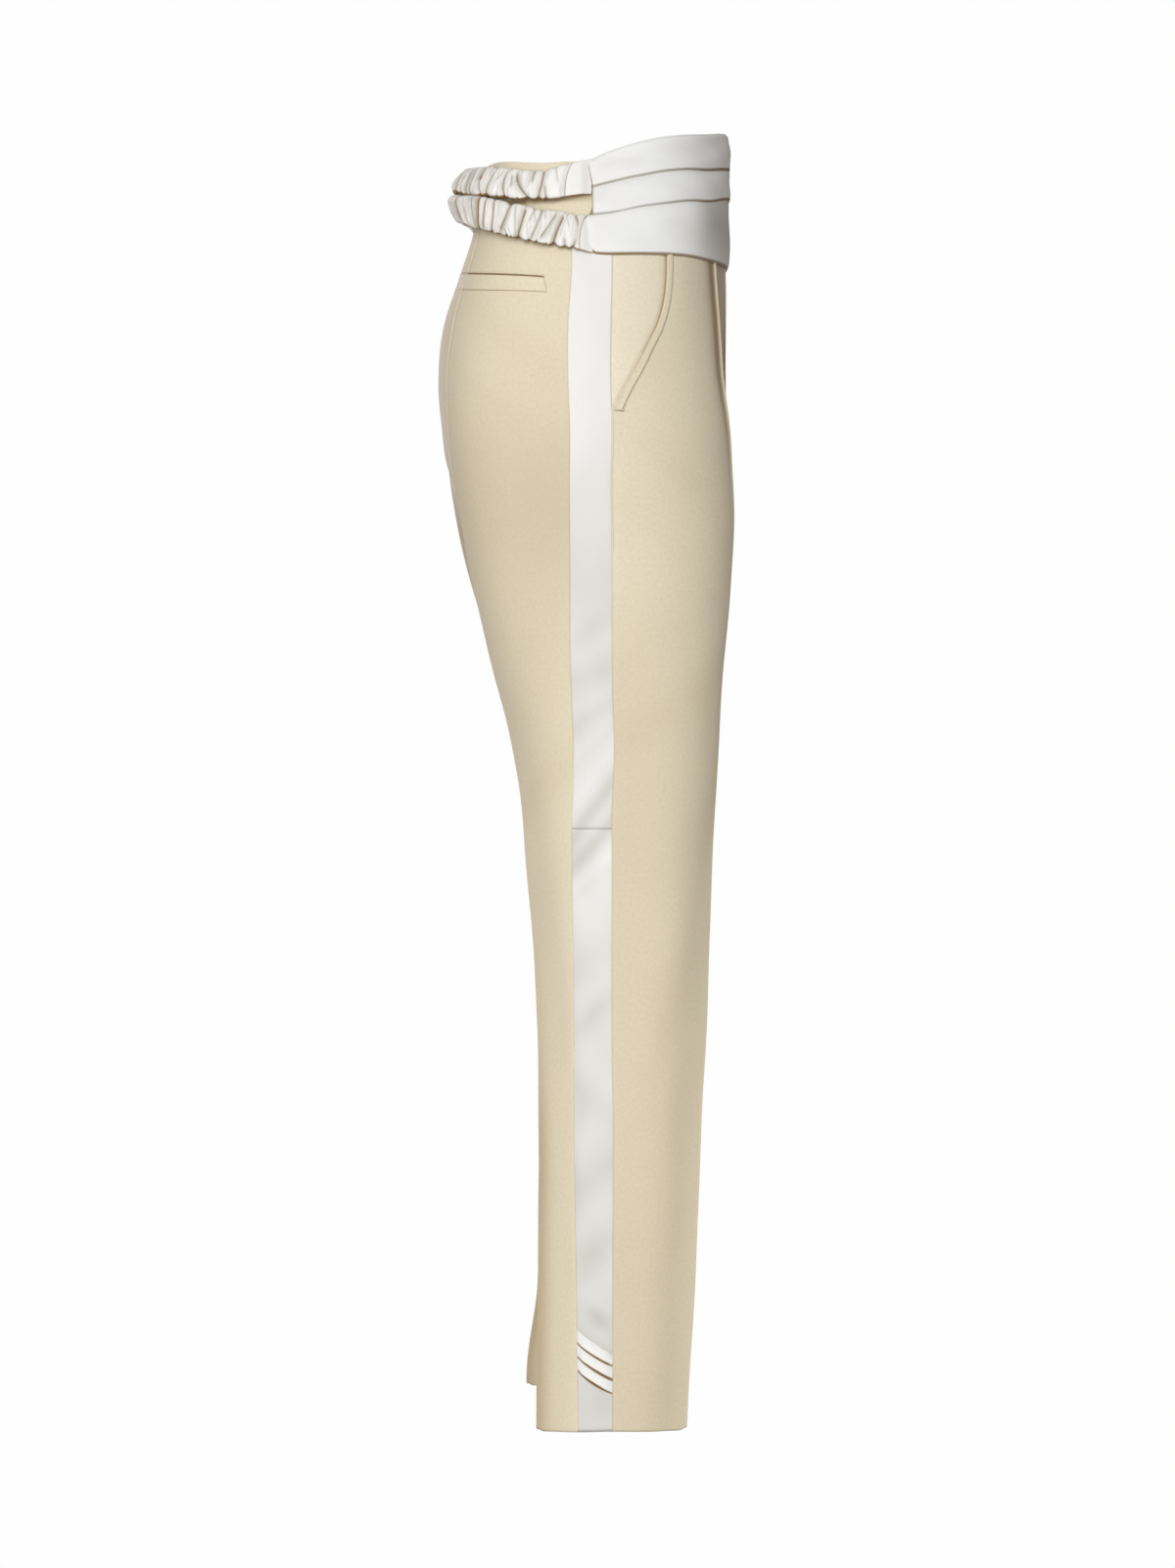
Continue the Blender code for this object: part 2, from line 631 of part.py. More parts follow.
def strap_points(sizes):
    """Rings of a flattened tube from side seam to side seam round the back, ruffled by its elastic."""
    share = np.linspace(-1.0, 1.0, STRAP_RINGS)
    size = {n: look_up(sizes, STRAP_COLUMNS, n, 1 - np.abs(share)) for n in STRAP_COLUMNS[1:]}
    size["middle"] += LEFT_STRAP_RISE * np.sin(np.pi * np.maximum(share, 0.0))
    ruffle = np.sin(2 * np.pi * np.arange(STRAP_RINGS) / RUFFLE_RINGS) * ease((1 - np.abs(share)) / 0.12)
    angle = np.linspace(2 * np.pi, 0.0, STRAP_SIDES, endpoint=False)
    round_out = np.sign(np.cos(angle)) * np.abs(np.cos(angle)) ** 0.8
    round_up = np.sign(np.sin(angle)) * np.abs(np.sin(angle)) ** 0.6
    rings = []
    for i, s in enumerate(share):
        height = size["height"][i] * (1 + 0.4 * RUFFLE_DEPTH * ruffle[i])
        thick = size["thick"][i] * (1 + RUFFLE_DEPTH * ruffle[i])
        ends = []
        for level in size["middle"][i] + height * np.array([-0.5, 0.5]):
            ring = Ring(level)
            start = ring.at_y(BELT_END_Y) + 2 * SEAM_GAP
            where = np.array([start + (1 - abs(s)) * (ring.length[-1] - start)])
            ends.append(ring.place(where)[0] * (1, 1, 0) + (0, 0, level))
        up = (ends[1] - ends[0]) / np.linalg.norm(ends[1] - ends[0])
        ahead = np.array([-1.0, 0.0, 0.0]) if s == 0.0 else ring.ahead(where)[0]
        out = np.cross(ahead, up)
        middle = (ends[0] + ends[1]) / 2 + out * (size["clear"][i] + size["thick"][i] / 2)
        lean = np.radians(size["lean"][i])
        up, out = up * np.cos(lean) + out * np.sin(lean), out * np.cos(lean) - up * np.sin(lean)
        loop = middle + out * (thick / 2 * round_out)[:, None] + up * (height / 2 * round_up)[:, None]
        rings.append(loop * (1 if s >= 0 else -1, 1, 1))
    return np.array(rings)


def hem_pleat_points(side_sign, number):
    """One pleat: its upper edge tucked under the one above, and its lower edge clear of the panel."""
    across = np.linspace(-1.0, 1.0, 5)
    slope = HEM_PLEAT_DROP * (1 - across) / 2 + HEM_PLEAT_SAG * (1 - across**2)
    top = HEM_PLEAT_TOP - number * HEM_PLEAT_SPACING - slope
    rows = []
    for down in (0.0, 0.5, 1.0):
        row = []
        for level, edge in zip(top - down * (HEM_PLEAT_SPACING - SEAM_GAP), across):
            ring = Ring(level, side_sign)
            row.append(ring.place(ring.at_y(panel_edge_y(level, edge))))
        rows.append(row)
    points = off_centre(np.array(rows))
    clear = np.array(HEM_PLEAT_CLEAR)[:, None, None]
    return points + surface_normals(points) * (clear + HEM_PLEAT_WALL)


def build_side(side_sign, wool, satin, collection):
    """All the pieces of one leg and its half of the hips."""
    tag = "L" if side_sign > 0 else "R"
    front = front_panel(side_sign)
    back = back_panel(side_sign)
    knee = KNEE_SEAM_LEVEL
    panels = (
        ("front", front, WOOL, wool),
        ("back", back, WOOL, wool),
        ("side_panel_upper", side_panel(side_sign, WAIST_SEAM - SEAM_GAP / 2, knee + SEAM_GAP / 2), SATIN, satin),
        ("side_panel_lower", side_panel(side_sign, knee - SEAM_GAP / 2, HEM_LEVEL), SATIN, satin),
        ("pocket_facing", pocket_facing(side_sign, front[0]), WOOL, wool),
        ("waistband", waistband(side_sign), WAISTBAND_WALL, wool),
    )
    for name, panel, wall, material in panels:
        add_panel(f"{name}_{tag}", panel, wall, side_sign, material, collection)
    welt = pocket_welt_points(front[0])
    add_on(f"pocket_welt_{tag}", welt, POCKET_WELT_WALL, side_sign, wool, collection, POCKET_WELT_LIFT)
    add_on(f"back_welt_{tag}", back_welt_points(back[0]), BACK_WELT_WALL, side_sign, wool, collection)
    for number in range(HEM_PLEAT_COUNT):
        pleat = hem_pleat_points(side_sign, number)
        add_cloth(f"hem_pleat_{number + 1}_{tag}", pleat, HEM_PLEAT_WALL, side_sign, satin, collection)
    if side_sign < 0:
        add_on("fly_R", fly_points(front[0]), FLY_WALL, side_sign, wool, collection)


def build_belt(satin, collection):
    """The cummerbund's three bands and the two straps that close it behind."""
    bands = (
        ("belt_upper", "top", "upper_pleat", 0.0, PLEAT_STEP),
        ("belt_middle", "upper_pleat", "lower_pleat", PLEAT_OVERLAP, PLEAT_STEP),
        ("belt_lower", "lower_pleat", "bottom", PLEAT_OVERLAP, 0.0),
    )
    for name, upper, lower, tuck, stand in bands:
        add_cloth(name, belt_band_points(upper, lower, tuck, stand), BELT_WALL, 1, satin, collection)
    for name, sizes in STRAPS.items():
        add_tube(name, strap_points(sizes), satin, collection)


def main():
    for old in list(bpy.data.objects):
        bpy.data.objects.remove(old)
    collection = bpy.data.collections.new("cigarette_trousers")
    bpy.context.scene.collection.children.link(collection)
    wool = make_material("wool", WOOL_COLOUR, 0.85, 0.2)
    satin = make_material("satin", SATIN_COLOUR, 0.42, 0.1)
    for side_sign in (1, -1):
        build_side(side_sign, wool, satin, collection)
    build_belt(satin, collection)


main()
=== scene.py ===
"""Looks of the cigarette trousers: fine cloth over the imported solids, in metres, in the same frame.

The garment faces -Y, the wearer's right is -X and +Z is up. Every cloth surface is worked out from one form,
the same as the solids': its points have a level and a distance along the cloth from the front crease.
Relief is added along the form's normals.
"""

import math

import bpy
import numpy as np
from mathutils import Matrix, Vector


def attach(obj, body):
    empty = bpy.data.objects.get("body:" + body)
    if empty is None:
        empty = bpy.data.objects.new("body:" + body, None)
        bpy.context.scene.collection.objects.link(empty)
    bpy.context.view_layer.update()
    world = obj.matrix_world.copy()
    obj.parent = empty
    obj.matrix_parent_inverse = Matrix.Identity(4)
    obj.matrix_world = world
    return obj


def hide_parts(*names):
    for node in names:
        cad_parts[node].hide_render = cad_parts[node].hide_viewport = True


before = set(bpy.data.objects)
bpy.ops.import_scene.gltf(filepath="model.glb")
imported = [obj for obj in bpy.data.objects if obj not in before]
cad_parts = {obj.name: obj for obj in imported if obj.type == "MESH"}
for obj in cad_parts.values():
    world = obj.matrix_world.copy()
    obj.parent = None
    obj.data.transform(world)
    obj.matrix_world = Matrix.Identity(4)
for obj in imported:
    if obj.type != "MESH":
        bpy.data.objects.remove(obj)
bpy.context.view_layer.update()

# ---------------------------------------------------------------- sizes, as in the solids
HEM_LEVEL = -1.0082
CROTCH_LEVEL = -0.250
WAIST_SEAM = -0.016
WAISTBAND_TOP = 0.037
BACK_RISE = 0.013
HEM_DIP = 0.0060
HEM_MIDDLE_Y = -0.003
HEM_HALF_DEPTH = 0.063
LEFT_HEM_RISE = 0.005
SEAM = 0.0002
CENTRE_OVERLAP = 0.0003  # how far each half runs past the middle, so that the centre seams are shut

OUTLINE_COLUMNS = ("level", "crease_x", "front_y", "back_y", "side_x", "fullness", "slope")
OUTLINE = (
    (0.090, 0.067, -0.0880, 0.0920, 0.1290, 0.56, 0.14),
    (0.040, 0.068, -0.0890, 0.0935, 0.1285, 0.56, 0.14),
    (0.000, 0.072, -0.0905, 0.1000, 0.1365, 0.56, 0.14),
    (-0.045, 0.076, -0.0925, 0.1120, 0.1490, 0.56, 0.14),
    (-0.090, 0.080, -0.0950, 0.1265, 0.1605, 0.56, 0.14),
    (-0.130, 0.083, -0.0975, 0.1330, 0.1690, 0.56, 0.14),
    (-0.180, 0.086, -0.1025, 0.1318, 0.1755, 0.56, 0.14),
    (-0.215, 0.087, -0.1043, 0.1284, 0.1768, 0.565, 0.14),
    (-0.250, 0.088, -0.1060, 0.1226, 0.1780, 0.57, 0.14),
    (-0.312, 0.089, -0.1030, 0.1107, 0.1755, 0.58, 0.16),
    (-0.377, 0.089, -0.0980, 0.0961, 0.1705, 0.60, 0.20),
    (-0.443, 0.090, -0.0940, 0.0797, 0.1650, 0.61, 0.27),
    (-0.475, 0.091, -0.0920, 0.0735, 0.1625, 0.61, 0.32),
    (-0.540, 0.092, -0.0880, 0.0670, 0.1585, 0.61, 0.43),
    (-0.606, 0.093, -0.0857, 0.0618, 0.1550, 0.61, 0.55),
    (-0.736, 0.096, -0.0804, 0.0570, 0.1485, 0.60, 0.80),
    (-0.883, 0.099, -0.0730, 0.0575, 0.1420, 0.59, 1.05),
    (-1.015, 0.101, -0.0658, 0.0597, 0.1370, 0.58, 1.20),
)
CENTRE_COLUMNS = ("level", "front_y", "back_y")
CENTRE = (
    (0.090, -0.1050, 0.1010),
    (0.040, -0.1050, 0.1030),
    (0.000, -0.1050, 0.1064),
    (-0.025, -0.1050, 0.1124),
    (-0.055, -0.1056, 0.1231),
    (-0.090, -0.1052, 0.1360),
    (-0.130, -0.1045, 0.1400),
    (-0.180, -0.1050, 0.1362),
    (-0.250, -0.1060, 0.1325),
)
INSEAM_COLUMNS = ("level", "inner_x")
INSEAM = (
    (-0.250, 0.0000),
    (-0.256, 0.0030),
    (-0.275, 0.0055),
    (-0.312, 0.0090),
    (-0.377, 0.0145),
    (-0.443, 0.0200),
    (-0.540, 0.0280),
    (-0.736, 0.0405),
    (-0.883, 0.0500),
    (-1.015, 0.0590),
)
CROTCH_HEIGHT = 0.080
CROTCH_POWER_FRONT = 2.2
CROTCH_POWER_BACK = 3.2
THIGH_GAP = 0.004
LEFT_LEG_TUCK = 0.006
PANEL_COLUMNS = ("level", "front_y", "back_y")
PANEL = (
    (0.000, -0.0010, 0.0315),
    (-0.051, -0.0015, 0.0312),
    (-0.107, 0.0002, 0.0349),
    (-0.147, 0.0007, 0.0350),
    (-0.187, -0.0001, 0.0338),
    (-0.235, 0.0007, 0.0342),
    (-0.300, -0.0002, 0.0336),
    (-0.380, -0.0005, 0.0329),
    (-0.410, -0.0011, 0.0318),
    (-0.443, -0.0024, 0.0304),
    (-0.467, -0.0019, 0.0304),
    (-0.483, -0.0014, 0.0304),
    (-0.499, -0.0004, 0.0313),
    (-0.530, -0.0008, 0.0313),
    (-0.600, -0.0009, 0.0303),
    (-0.680, -0.0011, 0.0293),
    (-0.740, -0.0021, 0.0292),
    (-0.820, -0.0024, 0.0280),
    (-0.900, -0.0023, 0.0267),
    (-1.015, -0.0023, 0.0251),
)
KNEE_SEAM_LEVEL = -0.5135
POCKET_COLUMNS = ("level", "edge_y")
POCKET = (
    (0.000, -0.0478),
    (-0.0435, -0.0476),
    (-0.0640, -0.0468),
    (-0.0830, -0.0439),
    (-0.1015, -0.0380),
    (-0.1175, -0.0301),
    (-0.1355, -0.0213),
    (-0.1490, -0.0137),
    (-0.1625, -0.0070),
    (-0.1730, -0.0024),
)
BACK_WELT_OUTER_Y = 0.0550
BACK_WELT_LENGTH = 0.125
BACK_WELT_HEIGHT = 0.0126
BACK_WELT_TOP = (-0.0616, -0.0455)
FLY_WIDTH = 0.033
FLY_BOTTOM = -0.165
BELT_COLUMNS = ("share", "bottom", "lower_pleat", "upper_pleat", "top")
BELT = (
    (0.00, -0.0365, 0.0240, 0.0505, 0.0795),
    (0.10, -0.0368, 0.0232, 0.0490, 0.0790),
    (0.25, -0.0385, 0.0190, 0.0445, 0.0745),
    (0.45, -0.0405, 0.0104, 0.0373, 0.0673),
    (0.60, -0.0407, 0.0064, 0.0334, 0.0632),
    (0.70, -0.0415, 0.0021, 0.0297, 0.0599),
    (0.80, -0.0425, -0.0022, 0.0246, 0.0541),
    (0.90, -0.0432, -0.0075, 0.0194, 0.0464),
    (1.00, -0.0415, -0.0103, 0.0140, 0.0399),
)
BELT_END_Y = 0.0140
STRAP_COLUMNS = ("share", "middle", "height", "thick", "clear", "lean")
STRAPS = {
    "strap_upper": (
        (0.00, 0.0234, 0.0310, 0.0040, 0.0012, 0.0),
        (0.22, 0.0147, 0.0262, 0.0080, 0.0035, -4.0),
        (0.50, 0.0224, 0.0275, 0.0100, 0.0050, -16.0),
        (0.75, 0.0318, 0.0258, 0.0100, 0.0060, -26.0),
        (1.00, 0.0402, 0.0220, 0.0100, 0.0115, -38.0),
    ),
    "strap_lower": (
        (0.00, -0.0270, 0.0318, 0.0040, 0.0012, 0.0),
        (0.22, -0.0206, 0.0288, 0.0080, 0.0040, 4.0),
        (0.50, -0.0050, 0.0275, 0.0105, 0.0070, 16.0),
        (0.75, 0.0068, 0.0244, 0.0105, 0.0070, 28.0),
        (1.00, 0.0160, 0.0238, 0.0105, 0.0140, 30.0),
    ),
}
LEFT_STRAP_RISE = 0.006
LOWER_STRAP_EDGE = (-0.0388, 0.0856, 1.94)  # a strap's lower edge: its level, slope and curve over the depth
UPPER_STRAP_EDGE = (0.0080, -0.0400, 0.0)
HEM_PLEAT_TOP = -0.9225
HEM_PLEAT_DROP = 0.0185
HEM_PLEAT_SAG = 0.0012
HEM_PLEAT_SPACING = 0.0112
HEM_PLEAT_COUNT = 3
HEM_PLEAT_TRIM = 0.0019  # how much less of the first pleat shows

# ---------------------------------------------------------------- finish sizes
WOOL_WALL = 0.0012
RIDGE_HEIGHT = {"front": 0.0019, "back": 0.0008}  # pressed creases, stitched into a fine ridge
RIDGE_END = {"front": -0.17, "back": -0.13}  # below these levels the ridges flatten out
RIDGE_WIDTH = 0.0011
EDGE_ROLL = 0.0003  # how far a panel's edge turns down into its seam
EDGE_WIDTH = 0.0011
LEAST_WIDTH = 0.0102  # the least that a sheet's width may be stated as
LEAST_FILL = 0.301  # the least share of its width times its length that a sheet's area may be stated as


def look_up(table, names, name, at):
    """A smooth curve through a column's points: cubic between them, with the slope of their neighbours."""
    rows = np.array(table)
    rows = rows[np.argsort(rows[:, 0])]
    x, y = rows[:, 0], rows[:, names.index(name)]
    slope = np.gradient(y, x)
    at = np.clip(at, x[0], x[-1])
    i = np.clip(np.searchsorted(x, at) - 1, 0, len(x) - 2)
    step = x[i + 1] - x[i]
    t = (at - x[i]) / step
    ends = (1 + 2 * t) * (1 - t) ** 2 * y[i] + t**2 * (3 - 2 * t) * y[i + 1]
    return ends + t * (1 - t) ** 2 * step * slope[i] + t**2 * (t - 1) * step * slope[i + 1]


def ease(t):
    """Rises smoothly from 0 at t = 0 to 1 at t = 1."""
    t = np.clip(t, 0.0, 1.0)
    return t * t * (3 - 2 * t)


def bump(distance, width):
    """A bell curve of a distance: 1 in the middle, falling away over the width."""
    return np.exp(-((distance / width) ** 2))


def unit(vectors):
    return vectors / np.linalg.norm(vectors, axis=-1, keepdims=True)


def lift(y, level, side_sign):
    """How far the cloth is moved up from its level: the waist rises towards the centre back, and the hem is
    longer at the creases than at the side. The left hem hangs higher."""
    waist = BACK_RISE * ease((y - 0.048) / 0.08) * ease((level + 0.13) / 0.13)
    hem = HEM_DIP * ((y - HEM_MIDDLE_Y) / HEM_HALF_DEPTH) ** 2 - LEFT_HEM_RISE * (side_sign > 0)
    return waist - hem * ease((-0.85 - level) / 0.15)


def crotch_levels(steps):
    """Levels down to the crotch, closer and closer together, so that the centre seams curve under
    evenly."""
    return CROTCH_LEVEL + CROTCH_HEIGHT * (1 - np.cos(np.linspace(np.pi / 2, 0.0, steps + 1)))


class Form:
    """The left half of the form as lines, one a level. Each line is four Bezier quarters: centre front to
    front crease, side, back crease and centre back. Below the crotch the outer quarters meet at the inseam
    instead."""

    QUARTER = 36
    ROW_KEY = 2.0  # more than a line's length, so that rows don't mix when they are searched as one

    def __init__(self, side_sign):
        top = CROTCH_LEVEL + CROTCH_HEIGHT
        upper = np.linspace(0.095, top, 150)[:-1]
        below = CROTCH_LEVEL - 0.03 * np.linspace(0, 1, 24)[1:] ** 1.6
        lower = np.linspace(below[-1], HEM_LEVEL - 0.004, 420)[1:]
        self.side_sign = side_sign
        self.tag = "L" if side_sign > 0 else "R"
        self.levels = np.concatenate([upper, crotch_levels(90), below, lower])
        self.points = self.lines(self.levels, side_sign)
        steps = np.linalg.norm(np.diff(self.points, axis=1), axis=2)
        length = np.concatenate([np.zeros((len(steps), 1)), np.cumsum(steps, axis=1)], axis=1)
        self.length = length - length[:, self.QUARTER, None]
        self.row_start = np.arange(len(self.levels))[:, None] * self.ROW_KEY
        self.keys = (self.row_start + self.length).ravel()

    def lines(self, level, side_sign):
        """Points of every line. A quarter is a Bezier curve whose handles blend from the leg's to the
        torso's."""
        size = {n: look_up(OUTLINE, OUTLINE_COLUMNS, n, level) for n in OUTLINE_COLUMNS[1:]}
        held = np.maximum(level, CROTCH_LEVEL)
        centre = {n: look_up(CENTRE, CENTRE_COLUMNS, n, held) for n in CENTRE_COLUMNS[1:]}
        inner_x = look_up(INSEAM, INSEAM_COLUMNS, "inner_x", np.minimum(level, CROTCH_LEVEL))
        if side_sign > 0:
            tuck = LEFT_LEG_TUCK * ease((-0.24 - level) / 0.12)
            size["back_y"] -= tuck * (1 - 1.45 * ease((-0.915 - level) / 0.085))
        middle_y = (size["front_y"] + size["back_y"]) / 2
        side = np.stack([size["side_x"], middle_y], axis=1)
        above = level > CROTCH_LEVEL
        rise = np.clip((level - CROTCH_LEVEL) / CROTCH_HEIGHT, 0.0, 1.0)
        torso = ease(rise)[:, None]
        full = size["fullness"]
        quarters = []
        for end_name, power in (("front_y", CROTCH_POWER_FRONT), ("back_y", CROTCH_POWER_BACK)):
            x, y, centre_y = size["crease_x"], size[end_name], centre[end_name]
            crease = np.stack([x, y], axis=1)
            under = (1 - (1 - rise) ** power) ** (1 / power)
            end_x = np.where(above, 0.0, inner_x)
            end_y = np.where(above, middle_y + (centre_y - middle_y) * under, middle_y)
            end = np.stack([end_x, end_y], axis=1)
            bulge = (y - centre_y) / x
            reach = full * (x - end_x)
            leg_start = np.stack([x - reach, y + np.sign(middle_y - y) * size["slope"] * reach], axis=1)
            torso_start = np.stack([x * 2 / 3, y - 2 * bulge * x / 3], axis=1)
            near = np.maximum(end_x, np.where(above, THIGH_GAP, 0.0))
            leg_end = np.stack([near, end_y - full * (end_y - y)], axis=1)
            torso_end = np.stack([x / 3, end_y], axis=1)
            first = leg_start + torso * (torso_start - leg_start)
            second = leg_end + torso * (torso_end - leg_end)
            inner = self.curve(crease, first, second, end)
            slope = (1 - torso[:, 0]) * np.sign(middle_y - y) * size["slope"] + torso[:, 0] * 2 * bulge
            reach = full * (side[:, 0] - x)
            start = np.stack([x + reach, y + slope * reach], axis=1)
            finish = np.stack([side[:, 0], middle_y - full * (middle_y - y)], axis=1)
            quarters.append((inner, self.curve(crease, start, finish, side)))
        (front_in, front_out), (back_in, back_out) = quarters
        parts = [front_in[:, ::-1], front_out[:, 1:], back_out[:, ::-1][:, 1:], back_in[:, 1:]]
        return np.concatenate(parts, axis=1)

    def curve(self, a, b, c, d):
        t = np.linspace(0.0, 1.0, self.QUARTER + 1)[None, :, None]
        a, b, c, d = (p[:, None, :] for p in (a, b, c, d))
        return (1 - t) ** 3 * a + 3 * (1 - t) ** 2 * t * b + 3 * (1 - t) * t**2 * c + t**3 * d

    def row(self, level):
        return np.interp(-np.asarray(level, float), -self.levels, np.arange(len(self.levels)))

    def between(self, values, level, where):
        """A table's values at any levels and distances, straight between rows and along them."""
        row = self.row(level)
        low = np.clip(np.floor(row), 0, len(self.levels) - 2).astype(int)
        share = row - low
        found = []
        for i in (low, low + 1):
            inside = np.clip(where, self.length[i, 0], self.length[i, -1])
            found.append(np.interp(i * self.ROW_KEY + inside, self.keys, values.ravel()))
        return found[0] * (1 - share) + found[1] * share

    def mark(self, column, level):
        """Distance along the cloth of 0 the centre front or inseam, 1 the front crease, 2 the side, 3 the
        back crease, 4 the centre back or inseam."""
        return np.interp(self.row(level), np.arange(len(self.levels)), self.length[:, column * self.QUARTER])

    def at_y(self, level, y):
        """Distance along the cloth at which the outer side passes a depth y."""
        outer = slice(self.QUARTER, 3 * self.QUARTER + 1)
        keys = (self.row_start + self.points[:, outer, 1]).ravel()
        row = self.row(level)
        low = np.clip(np.floor(row), 0, len(self.levels) - 2)
        share = row - low
        length = self.length[:, outer].ravel()
        found = [np.interp((low + i) * self.ROW_KEY + y, keys, length) for i in (0, 1)]
        return found[0] * (1 - share) + found[1] * share

    def panel_edge(self, level, edge):
        return self.at_y(level, panel_edge_y(level, edge))

    def place(self, level, where, lifted=True):
        """Points of the form at levels and distances, lifted unless a piece is given its own height."""
        level, where = np.broadcast_arrays(np.asarray(level, float), where)
        x = self.between(self.points[:, :, 0], level, where)
        x = x - CENTRE_OVERLAP * np.exp(-x / 0.0012)
        y = self.between(self.points[:, :, 1], level, where)
        return np.stack([x, y, level + (lift(y, level, self.side_sign) if lifted else 0.0)], axis=-1)

    def normal(self, level, where, lifted=True, reach=0.0015):
        """Outward normals, square to the form's directions down and across."""
        across = self.place(level, where + reach, lifted) - self.place(level, where - reach, lifted)
        down = self.place(level - reach, where, lifted) - self.place(level + reach, where, lifted)
        return unit(np.cross(down, across))


def panel_edge_y(level, edge):
    """Depth of the side panel's front (-1) or back (+1) edge, or between them at other values."""
    front, back = (look_up(PANEL, PANEL_COLUMNS, n, level) for n in PANEL_COLUMNS[1:])
    return front + (edge + 1) / 2 * (back - front)


def pocket_edge_y(level):
    return look_up(POCKET, POCKET_COLUMNS, "edge_y", level)


def spread(marks, near, counts):
    """Distances along the cloth for a grid's columns, one row a level: at the near offsets from each mark,
    and evenly in between."""
    near = np.asarray(near)
    columns = []
    for a, b, count in zip(marks[:-1], marks[1:], counts):
        scale = np.minimum(1.0, (b - a) / (3 * near[-1]))[:, None]
        left = a[:, None] + near[None] * scale
        right = b[:, None] - near[None, ::-1] * scale
        share = np.linspace(0.0, 1.0, count + 2)[None, 1:-1]
        middle = left[:, -1:] + share * (right[:, :1] - left[:, -1:])
        columns += [a[:, None], left, middle, right]
    return np.concatenate([*columns, marks[-1][:, None]], axis=1)


LEFT, RIGHT = Form(1), Form(-1)


# ---------------------------------------------------------------- meshes
def add_grid(name, points, uv, material, side_sign=1, tube=False, painted_shade=0.0):
    """A mesh from a grid of points, rows by columns, given for the left half; side_sign -1 mirrors it. A
    tube joins the last column to the first, and fans round their middle points close its ends. The last
    argument is the painted shade of each point: darkness painted in seams, folds and creases, under
    straps and where the cloth turns from the light."""
    rows, cols = points.shape[:2]
    count = rows * cols
    vertices = points.reshape(-1, 3)
    coordinates = uv.reshape(-1, 2)
    r, c = np.meshgrid(np.arange(rows - 1), np.arange(cols if tube else cols - 1), indexing="ij")
    near, far = (r * cols + c).ravel(), (r * cols + (c + 1) % cols).ravel()
    quads = np.stack([near, near + cols, far + cols, far], axis=1)
    fans = np.zeros((0, 3), int)
    if tube:
        ring = np.arange(cols)
        after = (ring + 1) % cols
        start = np.stack([np.full(cols, count), ring, after], axis=1)
        last = (rows - 1) * cols
        end = np.stack([np.full(cols, count + 1), last + after, last + ring], axis=1)
        fans = np.concatenate([start, end])
        vertices = np.concatenate([vertices, points[[0, -1]].mean(axis=1)])
        coordinates = np.concatenate([coordinates, uv[[0, -1]].mean(axis=1)])
    if side_sign < 0:
        vertices = vertices * (-1, 1, 1)
        quads, fans = quads[:, ::-1], fans[:, ::-1]
    corners = np.concatenate([quads.ravel(), fans.ravel()])
    mesh = bpy.data.meshes.new(name)
    mesh.from_pydata(vertices.tolist(), [], quads.tolist() + fans.tolist())
    layer = mesh.uv_layers.new(name="cloth")
    layer.data.foreach_set("uv", coordinates[corners].astype(np.float32).ravel())
    mesh.validate()
    values = np.zeros(len(vertices), np.float32)
    values[:count] = np.broadcast_to(painted_shade, (rows, cols)).ravel()
    mesh.attributes.new("painted_shade", "FLOAT", "POINT").data.foreach_set("value", values)
    mesh.shade_smooth()
    mesh.materials.append(material)
    piece = bpy.data.objects.new(name, mesh)
    bpy.context.scene.collection.objects.link(piece)
    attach(piece, "root")
    return piece


def grid_area(points):
    """Area of a grid's surface: half the cross product of each quad's diagonals."""
    a = points[1:, 1:] - points[:-1, :-1]
    b = points[1:, :-1] - points[:-1, 1:]
    return float(np.linalg.norm(np.cross(a, b), axis=-1).sum() / 2)


def sew(name, node, material, points, uv, painted_shade, flat, side_sign=1, wall=0.0, tube=False):
    """A cut piece of cloth. A single surface is given a wall. Its widest and longest measure and its flat
    area are worked out, and the solid of its node is hidden."""
    piece = add_grid(name, points, uv, material, side_sign, tube, painted_shade)
    if wall:
        solidify = piece.modifiers.new("wall", "SOLIDIFY")
        solidify.thickness = wall
        solidify.offset = -1.0
    across = np.linalg.norm(np.diff(flat, axis=1), axis=2).sum(axis=1).max()
    down = np.linalg.norm(np.diff(flat, axis=0), axis=2).sum(axis=0).max()
    across = max(across, LEAST_WIDTH)
    area = max(min(grid_area(flat), across * down), LEAST_FILL * across * down)
    finish_piece(node)


def finish_piece(node):
    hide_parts(node)


def grain(where, level):
    """Places on the cloth for its weave: across it and along it."""
    return np.stack([where, level], axis=-1)


# ---------------------------------------------------------------- materials
class Shade:
    """A shader socket that Python arithmetic can use: each operator adds a Math node."""

    def __init__(self, tree, socket=None):
        self.tree, self.socket = tree, socket

    def node(self, kind, settings=None, inputs=None, output=0):
        """Any node: its settings first, then the values or links of its sockets."""
        made = self.tree.nodes.new(kind)
        for key, value in (settings or {}).items():
            setattr(made, key, value)
        for key, value in (inputs or {}).items():
            if isinstance(value, Shade):
                self.tree.links.new(value.socket, made.inputs[key])
            else:
                made.inputs[key].default_value = value
        return Shade(self.tree, made.outputs[output])

    def math(self, operation, *values):
        return self.node("ShaderNodeMath", {"operation": operation}, dict(enumerate(values)))

    def __add__(self, other):
        return self.math("ADD", self, other)

    def __sub__(self, other):
        return self.math("SUBTRACT", self, other)

    def __rsub__(self, other):
        return self.math("SUBTRACT", other, self)

    def __mul__(self, other):
        return self.math("MULTIPLY", self, other)

    __radd__, __rmul__ = __add__, __mul__

    def noise(self, at, scale, detail):
        return self.node("ShaderNodeTexNoise", None, {"Vector": at, "Scale": scale, "Detail": detail})

    def mix(self, first, second):
        """A colour between two, by this value."""
        settings = {"data_type": "RGBA"}
        return self.node("ShaderNodeMix", settings, {0: self, 6: first, 7: second}, output=2)


